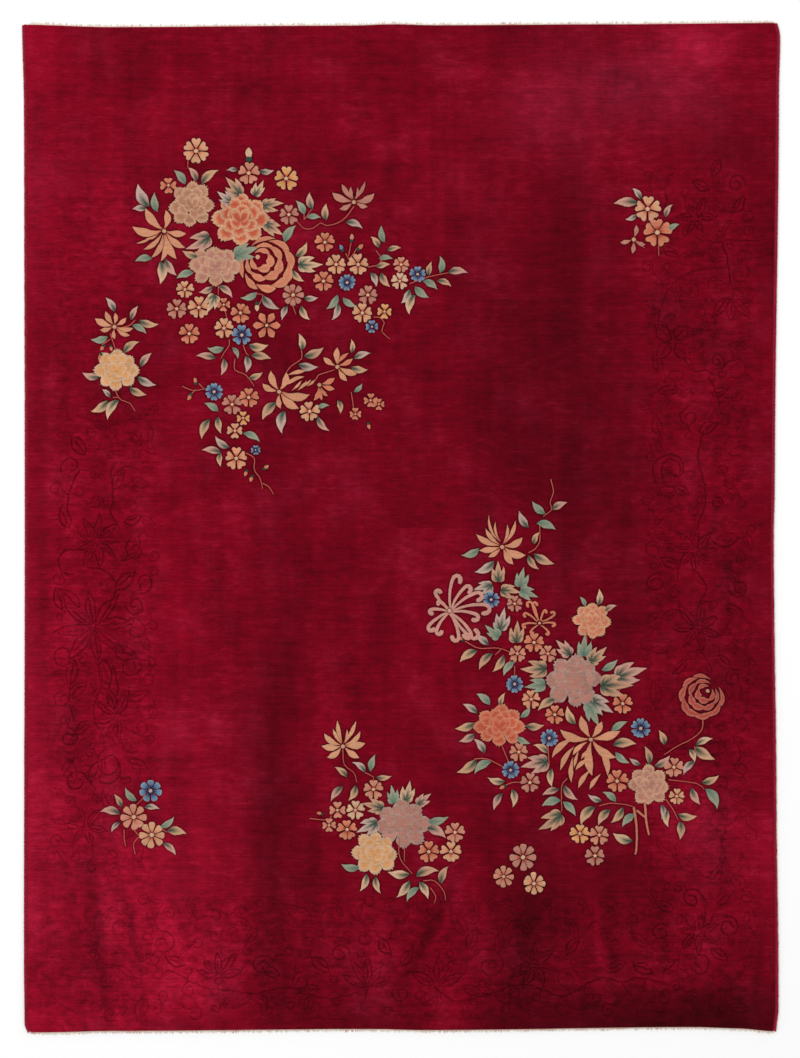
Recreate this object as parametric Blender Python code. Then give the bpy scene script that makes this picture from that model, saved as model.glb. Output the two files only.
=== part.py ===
"""Chinese art deco rug, hand-knotted in wool on a cotton foundation, lying flat.

Metres, +Z up. The origin is under the middle of the rug, on the surface it lies on. +Y runs along the rug's
length towards its top end, and +X across it to the right.

Every piece is modelled straight, inside one plain rectangle, and `settle` then bends it to the rug's own
slightly waisted and uneven outline, so neighbours keep their gap.
"""

import math

import bmesh
import bpy
from mathutils import Vector
from mathutils.geometry import delaunay_2d_cdt

# Plain rectangle that just holds the rug
WIDTH = 2.742
LENGTH = 3.661

# Heights above the floor
PILE_HEIGHT = 0.012
WEB_THICKNESS = 0.0018

# Side finish: wool overcast on the outer warps
SELVEDGE_WIDTH = 0.014
SELVEDGE_HEIGHT = 0.009
SELVEDGE_SIDES = 12
SELVEDGE_FLATTENING = 1.16

# End finish: a strip of web, then short trimmed bundles of warp
END_DEPTH = 0.008
WEB_DEPTH = 0.0035
BUNDLE_LONGEST = 0.0045
BUNDLE_SHORTEST = 0.0015
BUNDLES = 40
BUNDLE_SHARE = 0.6

GAP = 0.0003

# How finely the pieces are divided
SIDE_STATIONS = 32
STATION_CLEARANCE = 0.03
CORNER_START = 1.7
FLAT_SPACING = 0.30
SAME_PLACE = 1e-7
SHARP_ANGLE = math.radians(40)

# The rounded shoulder of the clipped pile, from the floor up
SHOULDER = (
    {"inset": 0.0, "height": 0.0},
    {"inset": 0.0, "height": 0.0075},
    {"inset": 0.0012, "height": 0.0100},
    {"inset": 0.0035, "height": 0.0115},
    {"inset": 0.0075, "height": PILE_HEIGHT},
)

# How far each edge lies inside the plain rectangle, in millimetres, at places along it in metres
LEFT_EDGE = (
    {"at": -1.8305, "inset": 22.0},
    {"at": -1.795, "inset": 9.0},
    {"at": -1.55, "inset": 7.0},
    {"at": 0.0, "inset": 10.0},
    {"at": 1.51, "inset": 7.0},
    {"at": 1.8305, "inset": 0.0},
)
RIGHT_EDGE = (
    {"at": -1.8305, "inset": 15.0},
    {"at": -1.745, "inset": 6.0},
    {"at": -1.56, "inset": 6.0},
    {"at": -1.0, "inset": 13.0},
    {"at": -0.04, "inset": 23.0},
    {"at": 0.16, "inset": 19.5},
    {"at": 1.55, "inset": 5.0},
    {"at": 1.785, "inset": 0.0},
    {"at": 1.8305, "inset": 12.0},
)
TOP_EDGE = (
    {"at": -1.371, "inset": 6.0},
    {"at": -1.05, "inset": 15.0},
    {"at": -0.18, "inset": 9.6},
    {"at": -0.02, "inset": 5.0},
    {"at": 0.13, "inset": 8.5},
    {"at": 0.75, "inset": 5.0},
    {"at": 1.371, "inset": 0.0},
)
BOTTOM_EDGE = (
    {"at": -1.371, "inset": 0.0},
    {"at": -1.30, "inset": 0.0},
    {"at": -1.05, "inset": 5.0},
    {"at": -0.10, "inset": 12.0},
    {"at": 0.08, "inset": 8.0},
    {"at": 1.08, "inset": 19.0},
    {"at": 1.23, "inset": 14.0},
    {"at": 1.371, "inset": 3.0},
)

HALF_WIDTH = WIDTH / 2
HALF_LENGTH = LENGTH / 2
PILE_HALF_WIDTH = HALF_WIDTH - SELVEDGE_WIDTH - GAP
PILE_HALF_LENGTH = HALF_LENGTH - END_DEPTH


def inset_at(edge, place):
    """How far inside the rectangle an edge lies, in metres, eased between the rows of its table."""
    before = edge[0]
    for after in edge[1:]:
        if place <= after["at"]:
            break
        before = after
    if before is after:
        return after["inset"] / 1000
    share = min(1.0, max(0.0, (place - before["at"]) / (after["at"] - before["at"])))
    eased = share * share * (3 - 2 * share)
    return (before["inset"] + (after["inset"] - before["inset"]) * eased) / 1000


def settle(x, y):
    """Bends a place in the plain rectangle to the rug's own outline."""
    across = x / WIDTH + 0.5
    along = y / LENGTH + 0.5
    bent_x = x + inset_at(LEFT_EDGE, y) * (1 - across) - inset_at(RIGHT_EDGE, y) * across
    bent_y = y + inset_at(BOTTOM_EDGE, x) * (1 - along) - inset_at(TOP_EDGE, x) * along
    return bent_x, bent_y


def spread(low, high, count):
    """Evenly spaced places from low to high, both included."""
    return [low + (high - low) * step / count for step in range(count + 1)]


def side_stations():
    """Places along the sides, shared by the pile and the selvedges so that their facets run parallel."""
    rows = [row["at"] for row in LEFT_EDGE + RIGHT_EDGE]
    turns = [place for place in rows if CORNER_START < abs(place) < PILE_HALF_LENGTH]
    ends = [-HALF_LENGTH, -PILE_HALF_LENGTH, *turns, PILE_HALF_LENGTH, HALF_LENGTH]
    even = spread(-HALF_LENGTH, HALF_LENGTH, SIDE_STATIONS)
    kept = [place for place in even if all(abs(place - end) > STATION_CLEARANCE for end in ends)]
    return sorted(kept + ends)


def end_stations():
    """Places along the ends, shared by the pile and the warp ends: three to each bundle, and the last one."""
    starts = spread(-PILE_HALF_WIDTH, PILE_HALF_WIDTH, BUNDLES)
    pitch = starts[1] - starts[0]
    margin = (1 - BUNDLE_SHARE) / 2
    shares = (0.0, margin, 1 - margin)
    return [start + pitch * share for start in starts[:-1] for share in shares] + [starts[-1]]


def finish(name, bm, colour, roughness):
    """Closes a shape into an object with its own material, bent to the rug's outline."""
    for vert in bm.verts:
        vert.co.x, vert.co.y = settle(vert.co.x, vert.co.y)
    bmesh.ops.recalc_face_normals(bm, faces=bm.faces)
    mesh = bpy.data.meshes.new(name)
    bm.to_mesh(mesh)
    bm.free()
    mesh.shade_smooth()
    mesh.set_sharp_from_angle(angle=SHARP_ANGLE)
    material = bpy.data.materials.new(name)
    material.use_nodes = True
    shader = material.node_tree.nodes["Principled BSDF"]
    shader.inputs["Base Color"].default_value = (*colour, 1)
    shader.inputs["Roughness"].default_value = roughness
    shader.inputs["Metallic"].default_value = 0.0
    mesh.materials.append(material)
    piece = bpy.data.objects.new(name, mesh)
    bpy.context.scene.collection.objects.link(piece)


def pile_outline():
    """The pile's outline in the plain rectangle, anticlockwise from its bottom left corner."""
    columns = end_stations()
    rows = side_stations()[1:-1]
    bottom = [(x, rows[0]) for x in columns[:-1]]
    right = [(columns[-1], y) for y in rows[:-1]]
    top = [(x, rows[-1]) for x in columns[:0:-1]]
    left = [(columns[0], y) for y in rows[:0:-1]]
    return bottom + right + top + left


def cap(bm, ring, height):
    """Fills a ring of corners with even triangles at one height."""
    flat = [Vector((vert.co.x, vert.co.y)) for vert in ring]
    across = int(WIDTH / FLAT_SPACING)
    along = int(LENGTH / FLAT_SPACING)
    for x in spread(-HALF_WIDTH, HALF_WIDTH, across)[1:-1]:
        for y in spread(-HALF_LENGTH, HALF_LENGTH, along)[1:-1]:
            flat.append(Vector((x, y)))
    edge = list(range(len(ring)))
    places, _, faces, origins, _, _ = delaunay_2d_cdt(flat, [], [edge], 1, SAME_PLACE)
    verts = []
    for place, origin in zip(places, origins):
        if origin and origin[0] < len(ring):
            verts.append(ring[origin[0]])
        else:
            verts.append(bm.verts.new((place.x, place.y, height)))
    for face in faces:
        bm.faces.new([verts[index] for index in face])


def make_pile():
    """The knotted carpet: flat underneath, flat on top, with a rounded shoulder all round."""
    bm = bmesh.new()
    rings = []
    for row in SHOULDER:
        narrowed = 1 - row["inset"] / PILE_HALF_WIDTH
        shortened = 1 - row["inset"] / PILE_HALF_LENGTH
        ring = []
        for x, y in pile_outline():
            ring.append(bm.verts.new((x * narrowed, y * shortened, row["height"])))
        rings.append(ring)
    for low, high in zip(rings, rings[1:]):
        for index in range(len(low)):
            after = (index + 1) % len(low)
            bm.faces.new((low[index], low[after], high[after], high[index]))
    cap(bm, rings[0], 0.0)
    cap(bm, rings[-1], PILE_HEIGHT)
    finish("pile_rug", bm, colour=(0.23, 0.004, 0.016), roughness=0.85)


def make_selvedge(name, side):
    """One overcast side cord with a flat foot, running from end to end."""
    middle = HALF_WIDTH - SELVEDGE_WIDTH / 2
    bm = bmesh.new()
    rings = []
    for y in side_stations():
        ring = []
        for step in range(SELVEDGE_SIDES):
            angle = math.tau * step / SELVEDGE_SIDES
            x = side * (middle + SELVEDGE_WIDTH / 2 * math.cos(angle))
            rise = 0.5 + 0.5 * SELVEDGE_FLATTENING * math.sin(angle)
            z = SELVEDGE_HEIGHT * min(1.0, max(0.0, rise))
            ring.append(bm.verts.new((x, y, z)))
        rings.append(ring)
    for low, high in zip(rings, rings[1:]):
        for index in range(SELVEDGE_SIDES):
            after = (index + 1) % SELVEDGE_SIDES
            bm.faces.new((low[index], low[after], high[after], high[index]))
    bm.faces.new(rings[0])
    bm.faces.new(rings[-1])
    finish(name, bm, colour=(0.30, 0.008, 0.03), roughness=0.8)


def bundle_length(index):
    """Trimmed by hand: two waves out of step keep neighbouring bundles of warp unequal."""
    slow_wave = 0.3 * math.sin(2.3 * index)
    quick_wave = 0.2 * math.sin(5.9 * index + 1.0)
    wander = 0.5 + slow_wave + quick_wave
    return BUNDLE_SHORTEST + (BUNDLE_LONGEST - BUNDLE_SHORTEST) * wander


def make_warp_ends(name, end):
    """One comb: the strip of web along an end, with the trimmed bundles standing out of it."""
    inner = PILE_HALF_LENGTH + GAP
    web = inner + WEB_DEPTH - GAP
    bm = bmesh.new()
    inner_row = [bm.verts.new((x, end * inner, WEB_THICKNESS)) for x in end_stations()]
    web_row = [bm.verts.new((x, end * web, WEB_THICKNESS)) for x in end_stations()]
    for index in range(len(inner_row) - 1):
        strip = (inner_row[index], inner_row[index + 1], web_row[index + 1], web_row[index])
        bm.faces.new(strip)
    for index in range(BUNDLES):
        left, right = web_row[3 * index + 1], web_row[3 * index + 2]
        tip = end * (web + bundle_length(index))
        tips = [bm.verts.new((root.co.x, tip, WEB_THICKNESS)) for root in (right, left)]
        bm.faces.new((left, right, *tips))
    thick = bmesh.ops.extrude_face_region(bm, geom=bm.faces[:])
    lowered = [part for part in thick["geom"] if isinstance(part, bmesh.types.BMVert)]
    for vert in lowered:
        vert.co.z = 0.0
    finish(name, bm, colour=(0.62, 0.50, 0.42), roughness=0.9)


def main():
    for thing in list(bpy.data.objects):
        bpy.data.objects.remove(thing, do_unlink=True)
    make_pile()
    make_selvedge("selvedge_left", side=-1)
    make_selvedge("selvedge_right", side=1)
    make_warp_ends("warp_ends_top", end=1)
    make_warp_ends("warp_ends_bottom", end=-1)


main()
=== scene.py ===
import math

import bpy
import numpy as np
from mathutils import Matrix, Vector
from mathutils.geometry import delaunay_2d_cdt


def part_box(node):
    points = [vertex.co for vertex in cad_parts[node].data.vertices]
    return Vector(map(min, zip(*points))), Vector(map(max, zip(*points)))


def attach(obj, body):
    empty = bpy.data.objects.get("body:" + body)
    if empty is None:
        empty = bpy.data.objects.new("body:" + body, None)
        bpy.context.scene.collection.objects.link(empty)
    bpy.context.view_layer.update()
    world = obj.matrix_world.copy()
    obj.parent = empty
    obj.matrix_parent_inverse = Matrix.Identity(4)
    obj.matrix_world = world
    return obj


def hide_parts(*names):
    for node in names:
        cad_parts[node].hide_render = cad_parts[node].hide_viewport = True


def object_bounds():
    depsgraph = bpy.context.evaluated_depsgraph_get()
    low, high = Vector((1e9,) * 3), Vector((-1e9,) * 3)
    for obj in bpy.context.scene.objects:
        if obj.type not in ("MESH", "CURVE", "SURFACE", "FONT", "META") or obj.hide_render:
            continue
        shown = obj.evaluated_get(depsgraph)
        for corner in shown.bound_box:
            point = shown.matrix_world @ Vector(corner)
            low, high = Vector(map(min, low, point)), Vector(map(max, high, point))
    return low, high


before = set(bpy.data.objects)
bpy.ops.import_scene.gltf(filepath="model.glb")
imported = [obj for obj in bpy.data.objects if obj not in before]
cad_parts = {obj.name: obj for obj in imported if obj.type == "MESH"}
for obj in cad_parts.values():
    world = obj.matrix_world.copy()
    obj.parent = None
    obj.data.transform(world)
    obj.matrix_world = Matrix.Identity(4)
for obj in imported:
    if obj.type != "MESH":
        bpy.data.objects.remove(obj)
cadLow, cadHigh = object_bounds()

cm = 0.01
mm = 0.001
chance = np.random.default_rng(1925)  # one seeded source for every small unevenness


# dyes

def linear(red, green, blue):  # a dye lot named as 0 to 255, as the linear colour that shaders take
    shares = np.array((red, green, blue)) / 255
    return np.where(shares > 0.04045, ((shares + 0.055) / 1.055) ** 2.4, shares / 12.92)


dyes = {
    "crimson": linear(126, 3, 27),
    "cream": linear(222, 180, 146),
    "beige": linear(208, 158, 128),
    "straw": linear(216, 168, 132),
    "sand": linear(184, 128, 100),
    "peach": linear(222, 160, 122),
    "apricot": linear(219, 152, 118),
    "gold": linear(226, 160, 100),
    "salmon": linear(214, 126, 98),
    "coral": linear(200, 92, 68),
    "brick": linear(172, 58, 44),
    "rose": linear(208, 138, 116),
    "dusty": linear(192, 130, 114),
    "mauve": linear(176, 134, 122),
    "orchid": linear(212, 150, 136),
    "blush": linear(214, 160, 142),
    "pearl": linear(205, 172, 158),
    "sage": linear(162, 162, 138),
    "moss": linear(92, 122, 106),
    "pine": linear(44, 76, 64),
    "navy": linear(30, 40, 88),
    "slate": linear(104, 134, 164),
    "ice": linear(160, 178, 190),
    "rust": linear(178, 66, 58),
    "twig": linear(200, 92, 80),
    "bark": linear(212, 124, 100),
}

# heart, body and rim of each kind of petal
petalTones = {
    "peach": ("coral", "peach", "cream"),
    "coral": ("brick", "salmon", "peach"),
    "rose": ("coral", "rose", "peach"),
    "dusty": ("brick", "dusty", "rose"),
    "gold": ("coral", "gold", "cream"),
    "cream": ("salmon", "cream", "cream"),
    "apricot": ("coral", "apricot", "peach"),
    "blue": ("navy", "slate", "ice"),
    "ruby": ("brick", "rust", "rose"),
    "mauve": ("dusty", "mauve", "pearl"),
    "orchid": ("rose", "orchid", "blush"),
    "beige": ("sand", "beige", "cream"),
}

# base and tip of each kind of leaf
leafTones = {
    "sage": ("moss", "sage"),
    "grey": ("pine", "pearl"),
    "pink": ("pine", "blush"),
    "peach": ("pine", "straw"),
    "cream": ("pine", "cream"),
    "beige": ("pine", "beige"),
}


def mixed(first, second, share):
    share = np.clip(np.asarray(share, float), 0, 1)[..., None]
    return first * (1 - share) + second * share


def smoothStep(low, high, value):
    share = np.clip((value - low) / (high - low), 0, 1)
    return share * share * (3 - 2 * share)


def uneven(spread, shape):  # small shifts in x and y
    return chance.normal(0, spread, shape) + 1j * chance.normal(0, spread, shape)


def placed(name, mesh):  # an object for a finished mesh, at the origin
    piece = bpy.data.objects.new(name, mesh)
    bpy.context.scene.collection.objects.link(piece)
    return piece


# cushions of pile: one closed patch for each petal, leaf and length of stem

pile = {
    "top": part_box("pile_rug")[1].z,  # the clipped surface of the ground
    "foot": 8.6 * mm,  # how deep a motif's cushion reaches, below the bottom of its groove
    "leafRise": 0.5 * mm,
    "stemRise": 0.3 * mm,
    "petalRise": 0.9 * mm,
    "dome": 0.8 * mm,  # a cushion's edge lies this much under its middle
    "ragged": 0.35 * mm,  # knots make every outline slightly uneven
    "dyeLot": 0.045,  # how far one cushion's colour may be from the next one's
    "hookFrom": 0.62,  # the stretch of a cushion's length over which its end hooks
    "hookTo": 0.97,
    "footShade": 0.5,  # painted shade: the foot of a cushion, down in its groove, takes this share of the ground's crimson
}

# half width along a shape, from 0 at its base to 1 at its tip
profiles = {
    "leaf": ((0, 0.08), (0.12, 0.46), (0.28, 0.90), (0.42, 1.0), (0.60, 0.84), (0.78, 0.46), (0.91, 0.17),
             (1, 0.03)),
    "lobe": ((0, 0.30), (0.25, 0.80), (0.50, 1.0), (0.72, 0.66), (0.88, 0.28), (1, 0.03)),
    "fan": ((0, 0.16), (0.30, 0.52), (0.62, 0.88), (0.84, 1.0), (1, 0.86)),
    "broad": ((0, 0.55), (0.35, 0.92), (0.70, 1.0), (0.88, 0.92), (1, 0.62)),
    "lance": ((0, 0.12), (0.20, 0.42), (0.45, 0.88), (0.62, 1.0), (0.80, 0.68), (0.92, 0.28), (1, 0.04)),
    "star": ((0, 0.20), (0.40, 0.72), (0.66, 1.0), (0.84, 0.66), (1, 0.06)),
    "ribbon": ((0, 0.45), (0.30, 0.62), (0.60, 0.78), (0.85, 1.0), (0.96, 1.0), (1, 0.6)),
    "dot": ((0, 0.25), (0.15, 0.78), (0.5, 1.0), (0.85, 0.78), (1, 0.25)),
    "bud": ((0, 0.35), (0.25, 0.85), (0.5, 1.0), (0.78, 0.72), (1, 0.12)),
}

columnPlaces = {
    3: np.array((-1, 0, 1.0)),
    5: np.array((-1, -0.72, 0, 0.72, 1)),
    7: np.array((-1, -0.78, -0.4, 0, 0.4, 0.78, 1)),
    9: np.array((-1, -0.85, -0.6, -0.3, 0, 0.3, 0.6, 0.85, 1)),
}
shellFaces = {}  # the faces of a closed grid shell, by its size


def closedShell(rows, columns):
    if (rows, columns) not in shellFaces:
        def at(row, column, under=0):
            return under * rows * columns + row * columns + column
        faces = []
        for row in range(rows - 1):
            for column in range(columns - 1):
                corners = ((row, column), (row + 1, column), (row + 1, column + 1), (row, column + 1))
                faces.append([at(*corner) for corner in corners])
                faces.append([at(*corner, 1) for corner in reversed(corners)])
        rim = [(0, column) for column in range(columns)]
        rim += [(row, columns - 1) for row in range(1, rows)]
        rim += [(rows - 1, column) for column in range(columns - 2, -1, -1)]
        rim += [(row, 0) for row in range(rows - 2, 0, -1)]
        for here, there in zip(rim, rim[1:] + rim[:1]):
            faces.append([at(*here), at(*there), at(*there, 1), at(*here, 1)])
        shellFaces[rows, columns] = faces, rim
    return shellFaces[rows, columns]


class Spray:  # collects one spray's cushions, to be joined into one mesh
    def __init__(self, name):
        self.name = name
        self.places = []
        self.faces = []
        self.colours = []
        self.outlines = []
        self.count = 0

    def addShell(self, place, height, colour):  # one patch of pile, closed down to its foot
        top = np.stack((place.real, place.imag, height), -1).reshape(-1, 3)
        low = top.copy()
        low[:, 2] = pile["foot"]
        colour = colour.reshape(-1, 3)
        faces, rim = closedShell(*place.shape)
        self.faces += [[corner + self.count for corner in face] for face in faces]
        self.places += [top, low]
        # the foot takes the ground's crimson, darkened as painted shade down in the groove
        self.colours += [colour, 0 * colour + pile["footShade"] * dyes["crimson"]]
        self.outlines.append(np.array([place[spot] for spot in rim]))
        self.count += 2 * len(top)

    def cushion(self, base, reach, halfWidth, profile, shade, rise, curl=0.0, hook=0.0, crown=None,
                rows=7, columns=5):
        # base and reach are complex numbers, x + iy in metres; curl bends the whole length and hook its end
        along = np.linspace(0, 1, rows)
        across = columnPlaces[columns]
        fine = np.linspace(0, 1, 41)
        between = (fine[:-1] + fine[1:]) / 2
        heading = curl * (2 * between - 1) + hook * smoothStep(pile["hookFrom"], pile["hookTo"], between)
        line = np.concatenate(([0], np.cumsum(np.exp(1j * heading))))
        line *= reach / line[-1]
        aside = 1j * np.gradient(line)
        aside /= abs(aside)
        share = np.interp(along, *zip(*profiles[profile])) * halfWidth
        stretch = np.ones_like(across) if crown is None else crown(across)
        reached = along[:, None] * (1 + (stretch[None, :] - 1) * along[:, None] ** 2)
        middle = np.interp(reached, fine, line.real) + 1j * np.interp(reached, fine, line.imag)
        side = np.interp(reached, fine, aside.real) + 1j * np.interp(reached, fine, aside.imag)
        place = base + middle + side * (share[:, None] * across[None, :])
        place = place + uneven(pile["ragged"], place.shape)
        crowned = np.clip(1 - across ** 2, 0, 1)[None, :] * np.clip(1 - (2 * along - 1) ** 8, 0, 1)[:, None]
        height = pile["top"] + rise - pile["dome"] * (1 - np.sqrt(crowned))
        colour = shade(along[:, None] + 0 * across[None, :], across[None, :] + 0 * along[:, None])
        self.addShell(place, height, colour * chance.normal(1, pile["dyeLot"]))

    def mesh(self, finish):
        mesh = bpy.data.meshes.new(self.name)
        places = np.concatenate(self.places)
        places[:, 2] += lieOf(places[:, 0], places[:, 1]) * (places[:, 2] > pile["foot"])
        mesh.from_pydata(places.tolist(), [], self.faces)
        colours = np.concatenate(self.colours)
        layer = mesh.color_attributes.new("dye", "FLOAT_COLOR", "POINT")
        layer.data.foreach_set("color", np.column_stack((colours, np.ones(len(colours)))).ravel())
        mesh.materials.append(finish)
        mesh.shade_smooth()
        return placed(self.name, mesh)


# the maker's small vocabulary of flowers, leaves and stems

upright = math.radians(90)  # a flower's first petal points along the rug


def plane(x, y):  # a place or a reach given in centimetres
    return complex(x, y) * cm


def roundedTip(across):
    return 0.86 + 0.14 * np.sqrt(np.clip(1 - 0.9 * across ** 2, 0, 1))


def notchedTip(across):
    return roundedTip(across) - 0.2 * np.exp(-(across / 0.3) ** 2)


def lobedTip(across):  # a middle point with a lobe on each side of it
    return np.interp(abs(across), (0, 0.3, 0.6, 0.85, 1), (1, 0.85, 0.93, 0.80, 0.60))


# a shade takes t, from base to tip, and s, from side to side, and gives the dye there

def plainShade(dye):
    return lambda t, s: dye + 0 * t[..., None]


def petalShade(tone, heart=0.1, rim=0.86, side=0.9):
    inner, body, edge = (dyes[name] for name in petalTones[tone])

    def shade(t, s):
        pale = np.maximum(smoothStep(rim - 0.1, rim + 0.1, t),
                          0.7 * smoothStep(side - 0.15, side + 0.1, abs(s)))
        return mixed(mixed(inner, body, smoothStep(heart - 0.25, heart + 0.2, t)), edge, pale)
    return shade


def cellShade(cell, tone):  # a dark cell inside each petal, and a pale rim round it
    inner, body, edge = dyes[cell], dyes[petalTones[tone][1]], dyes[petalTones[tone][2]]

    def shade(t, s):
        deep = (1 - smoothStep(0.60, 0.84, t + 0.16 * abs(s))) * (1 - smoothStep(0.5, 0.8, abs(s)))
        pale = np.maximum(smoothStep(0.86, 0.96, t), smoothStep(0.78, 0.95, abs(s)))
        return mixed(mixed(body, inner, deep), edge, 0.85 * pale)
    return shade


def leafShade(tone, side):  # a dark heart along the middle, paler to the rim and the tip
    base, tip = (dyes[name] for name in leafTones[tone])
    low, high = (0.05, 0.95) if tone == "sage" else (0.24, 0.80)
    return lambda t, s: mixed(base, tip, smoothStep(low, high, t + 0.42 * abs(s) + 0.1 * s * side))


def leaf(spray, x, y, reachX, reachY, tone):
    reach = plane(reachX, reachY)
    side = chance.choice((-1, 1))
    spray.cushion(plane(x, y), reach, abs(reach) * chance.uniform(0.19, 0.235), "leaf", leafShade(tone, side),
                  pile["leafRise"], curl=side * chance.uniform(0.25, 0.6), rows=10)


def lobedLeaf(spray, x, y, reachX, reachY, tone):
    reach = plane(reachX, reachY)
    for turn, length, width, rise in ((0.92, 0.44, 0.12, 0), (-0.92, 0.42, 0.12, 0), (0.42, 0.74, 0.15, 0.1),
                                      (-0.42, 0.78, 0.15, 0.1), (0.0, 1.04, 0.16, 0.2)):
        arm = reach * length * np.exp(1j * turn)
        spray.cushion(plane(x, y) + 0.05 * reach, arm, abs(reach) * width, "lobe", leafShade(tone, 1),
                      pile["leafRise"] + rise * mm, curl=-turn * 0.6 + chance.normal(0, 0.1), rows=8)


def dot(spray, hub, radius, dye, rise):
    spray.cushion(hub - radius, 2 * radius + 0j, radius, "dot", plainShade(dye), rise, rows=5)


def blossom(spray, x, y, radius, petals, tone):  # wide petals are notched, crowded ones only rounded
    hub, size, wide, blue = plane(x, y), radius * cm, petals < 7, tone == "blue"
    width = size * math.sin(math.pi / petals) * (0.74 if wide else 0.68)
    for number in range(petals):
        way = np.exp(1j * (upright + number * math.tau / petals + chance.normal(0, 0.05)))
        spray.cushion(hub + way * size * 0.20, way * size * 0.80 * chance.uniform(0.92, 1.06), width, "fan",
                      petalShade(tone, heart=0.42 if blue else 0.25), pile["petalRise"] - 0.2 * mm,
                      crown=notchedTip if wide else roundedTip, rows=6, columns=7)
    dot(spray, hub, size * 0.17, dyes["pearl" if blue else "cream"], pile["petalRise"])


def rays(spray, x, y, tone, tips):
    # a chrysanthemum, lily or lotus: pointed petals from one hub to the given tips, slimmer where they crowd
    centre = plane(x, y)
    reaches = [plane(*tip) for tip in tips]
    for number, reach in enumerate(reaches):
        clear = min(abs(np.angle(other / reach)) for other in reaches if other != reach)
        half = min(max(0.29 * clear * abs(reach), 0.45 * cm), 1.6 * cm, 0.17 * abs(reach))
        start = min(max((0.3 * half + 1.5 * mm) / (clear * abs(reach)), 1.0 * cm / abs(reach)), 0.34)
        spray.cushion(centre + reach * start, reach * (1 - start), half, "lance",
                      petalShade(tone, rim=0.93), pile["petalRise"] - 0.1 * mm * (number % 2),
                      curl=(1 if reach.real > 0 else -1) * chance.uniform(0.15, 0.6), rows=10)
    dot(spray, centre, 0.75 * cm, dyes["beige"], pile["petalRise"])


def curls(spray, x, y, tone, tips, width=0.8, hub=0.8):
    # a spider chrysanthemum: ribbons that roll up at their ends; the third figure gives the way they roll
    centre = plane(x, y)
    for number, (tipX, tipY, way) in enumerate(tips):
        reach = plane(tipX, tipY) * 0.88
        start = min(0.22, 1.0 * cm / abs(reach))
        spray.cushion(centre + reach * start, reach * (1 - start), width * cm, "ribbon",
                      petalShade(tone, heart=0.0, rim=1.2, side=0.95),
                      pile["petalRise"] - 0.25 * mm * (number % 2),
                      curl=0.4 * way, hook=2.9 * way, rows=18)
    dot(spray, centre, hub * cm, dyes["blush"], pile["petalRise"])


def petal(spray, x, y, reachX, reachY, half, curl, tone):  # one free petal of a large flower
    spray.cushion(plane(x, y), plane(reachX, reachY), half * cm, "lance",
                  petalShade(tone, rim=0.93, side=0.85), pile["petalRise"] - chance.uniform(0, 0.25) * mm,
                  curl=curl, rows=9)


def peony(spray, x, y, width, height, tone, cell):
    # three rings of lobed petals, each ring a little higher, about a heart of two petals
    middle = plane(x, y)
    wide, tall = width * cm / 2, height * cm / 2
    heart = middle + 0.14j * tall
    shade = cellShade(cell, tone)
    rings = (  # petals, from and to as shares of the radius, half width, rise in mm, first angle
        (8, 0.40, 1.07, 0.31, 0.2, 0.0), (7, 0.24, 0.80, 0.27, 0.7, 0.4), (5, 0.10, 0.52, 0.24, 1.2, -0.1),
    )
    for petals, near, far, share, rise, first in rings:
        start = middle if far > 1 else (middle + heart) / 2
        for number in range(petals):
            angle = upright + first + number * math.tau / petals + chance.normal(0, 0.07)
            way = complex(math.cos(angle) * wide, math.sin(angle) * tall)
            spray.cushion(start + way * near, way * (far * chance.uniform(0.92, 1.05) - near),
                          share * (wide + tall) / 2 * chance.uniform(0.9, 1.06), "broad", shade,
                          rise * mm + chance.uniform(-0.1, 0.1) * mm, curl=chance.uniform(-0.4, 0.4),
                          crown=lobedTip, rows=8, columns=9)
    for side in (1, -1):
        spray.cushion(heart - 0.24j * tall, complex(0.16 * side * wide, 0.5 * tall), 0.18 * wide, "broad",
                      shade, 1.7 * mm, curl=side * 0.55, crown=roundedTip, rows=8, columns=7)


def coiled(spray, x, y, radius, tone, hubX, hubY):
    # an incurved chrysanthemum: petals follow circles that lie inside one another and close on its hub
    size = radius * cm
    hub = plane(x, y) + complex(hubX, hubY) * size
    shift = abs(complex(hubX, hubY))
    axis = -complex(hubX, hubY) / shift
    levels = ((0.90, 4), (0.63, 3), (0.36, 2))
    for level, (share, petals) in enumerate(levels):
        middle, bow = hub + axis * size * shift * share, size * share
        edges = np.linspace(0.25, 3.05, petals + 1)
        for side in (1, -1):
            for first, last in zip(edges, edges[1:]):
                first, last = first + chance.normal(0, 0.05) + 0.12 * (side > 0), last + 0.30
                base = middle - axis * bow * np.exp(1j * side * first) * 0.95
                tip = middle - axis * bow * np.exp(1j * side * last) * (1.12 if level == 0 else 1.04)
                spacing = 0.9 * size / len(levels) * (1 - shift * math.cos((first + last) / 2))
                spray.cushion(base, tip - base, 0.42 * spacing, "lance",
                              petalShade(tone, rim=0.88, side=0.72),
                              pile["petalRise"] - 0.1 * mm * (level % 2), curl=side * (last - first) / 2,
                              rows=9)
    dot(spray, hub, 0.09 * size, dyes["beige"], pile["petalRise"] + 0.3 * mm)


def bud(spray, x, y, reachX, reachY, tone):  # a closed flower in its dark cup
    base, reach = plane(x, y), plane(reachX, reachY)
    spray.cushion(base + reach * 0.25, reach * 0.75, abs(reach) * 0.25, "bud", petalShade(tone),
                  pile["petalRise"] - 0.2 * mm, rows=6)
    spray.cushion(base, reach * 0.42, abs(reach) * 0.22, "bud", plainShade(dyes["pine"]), pile["petalRise"],
                  rows=5)


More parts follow.
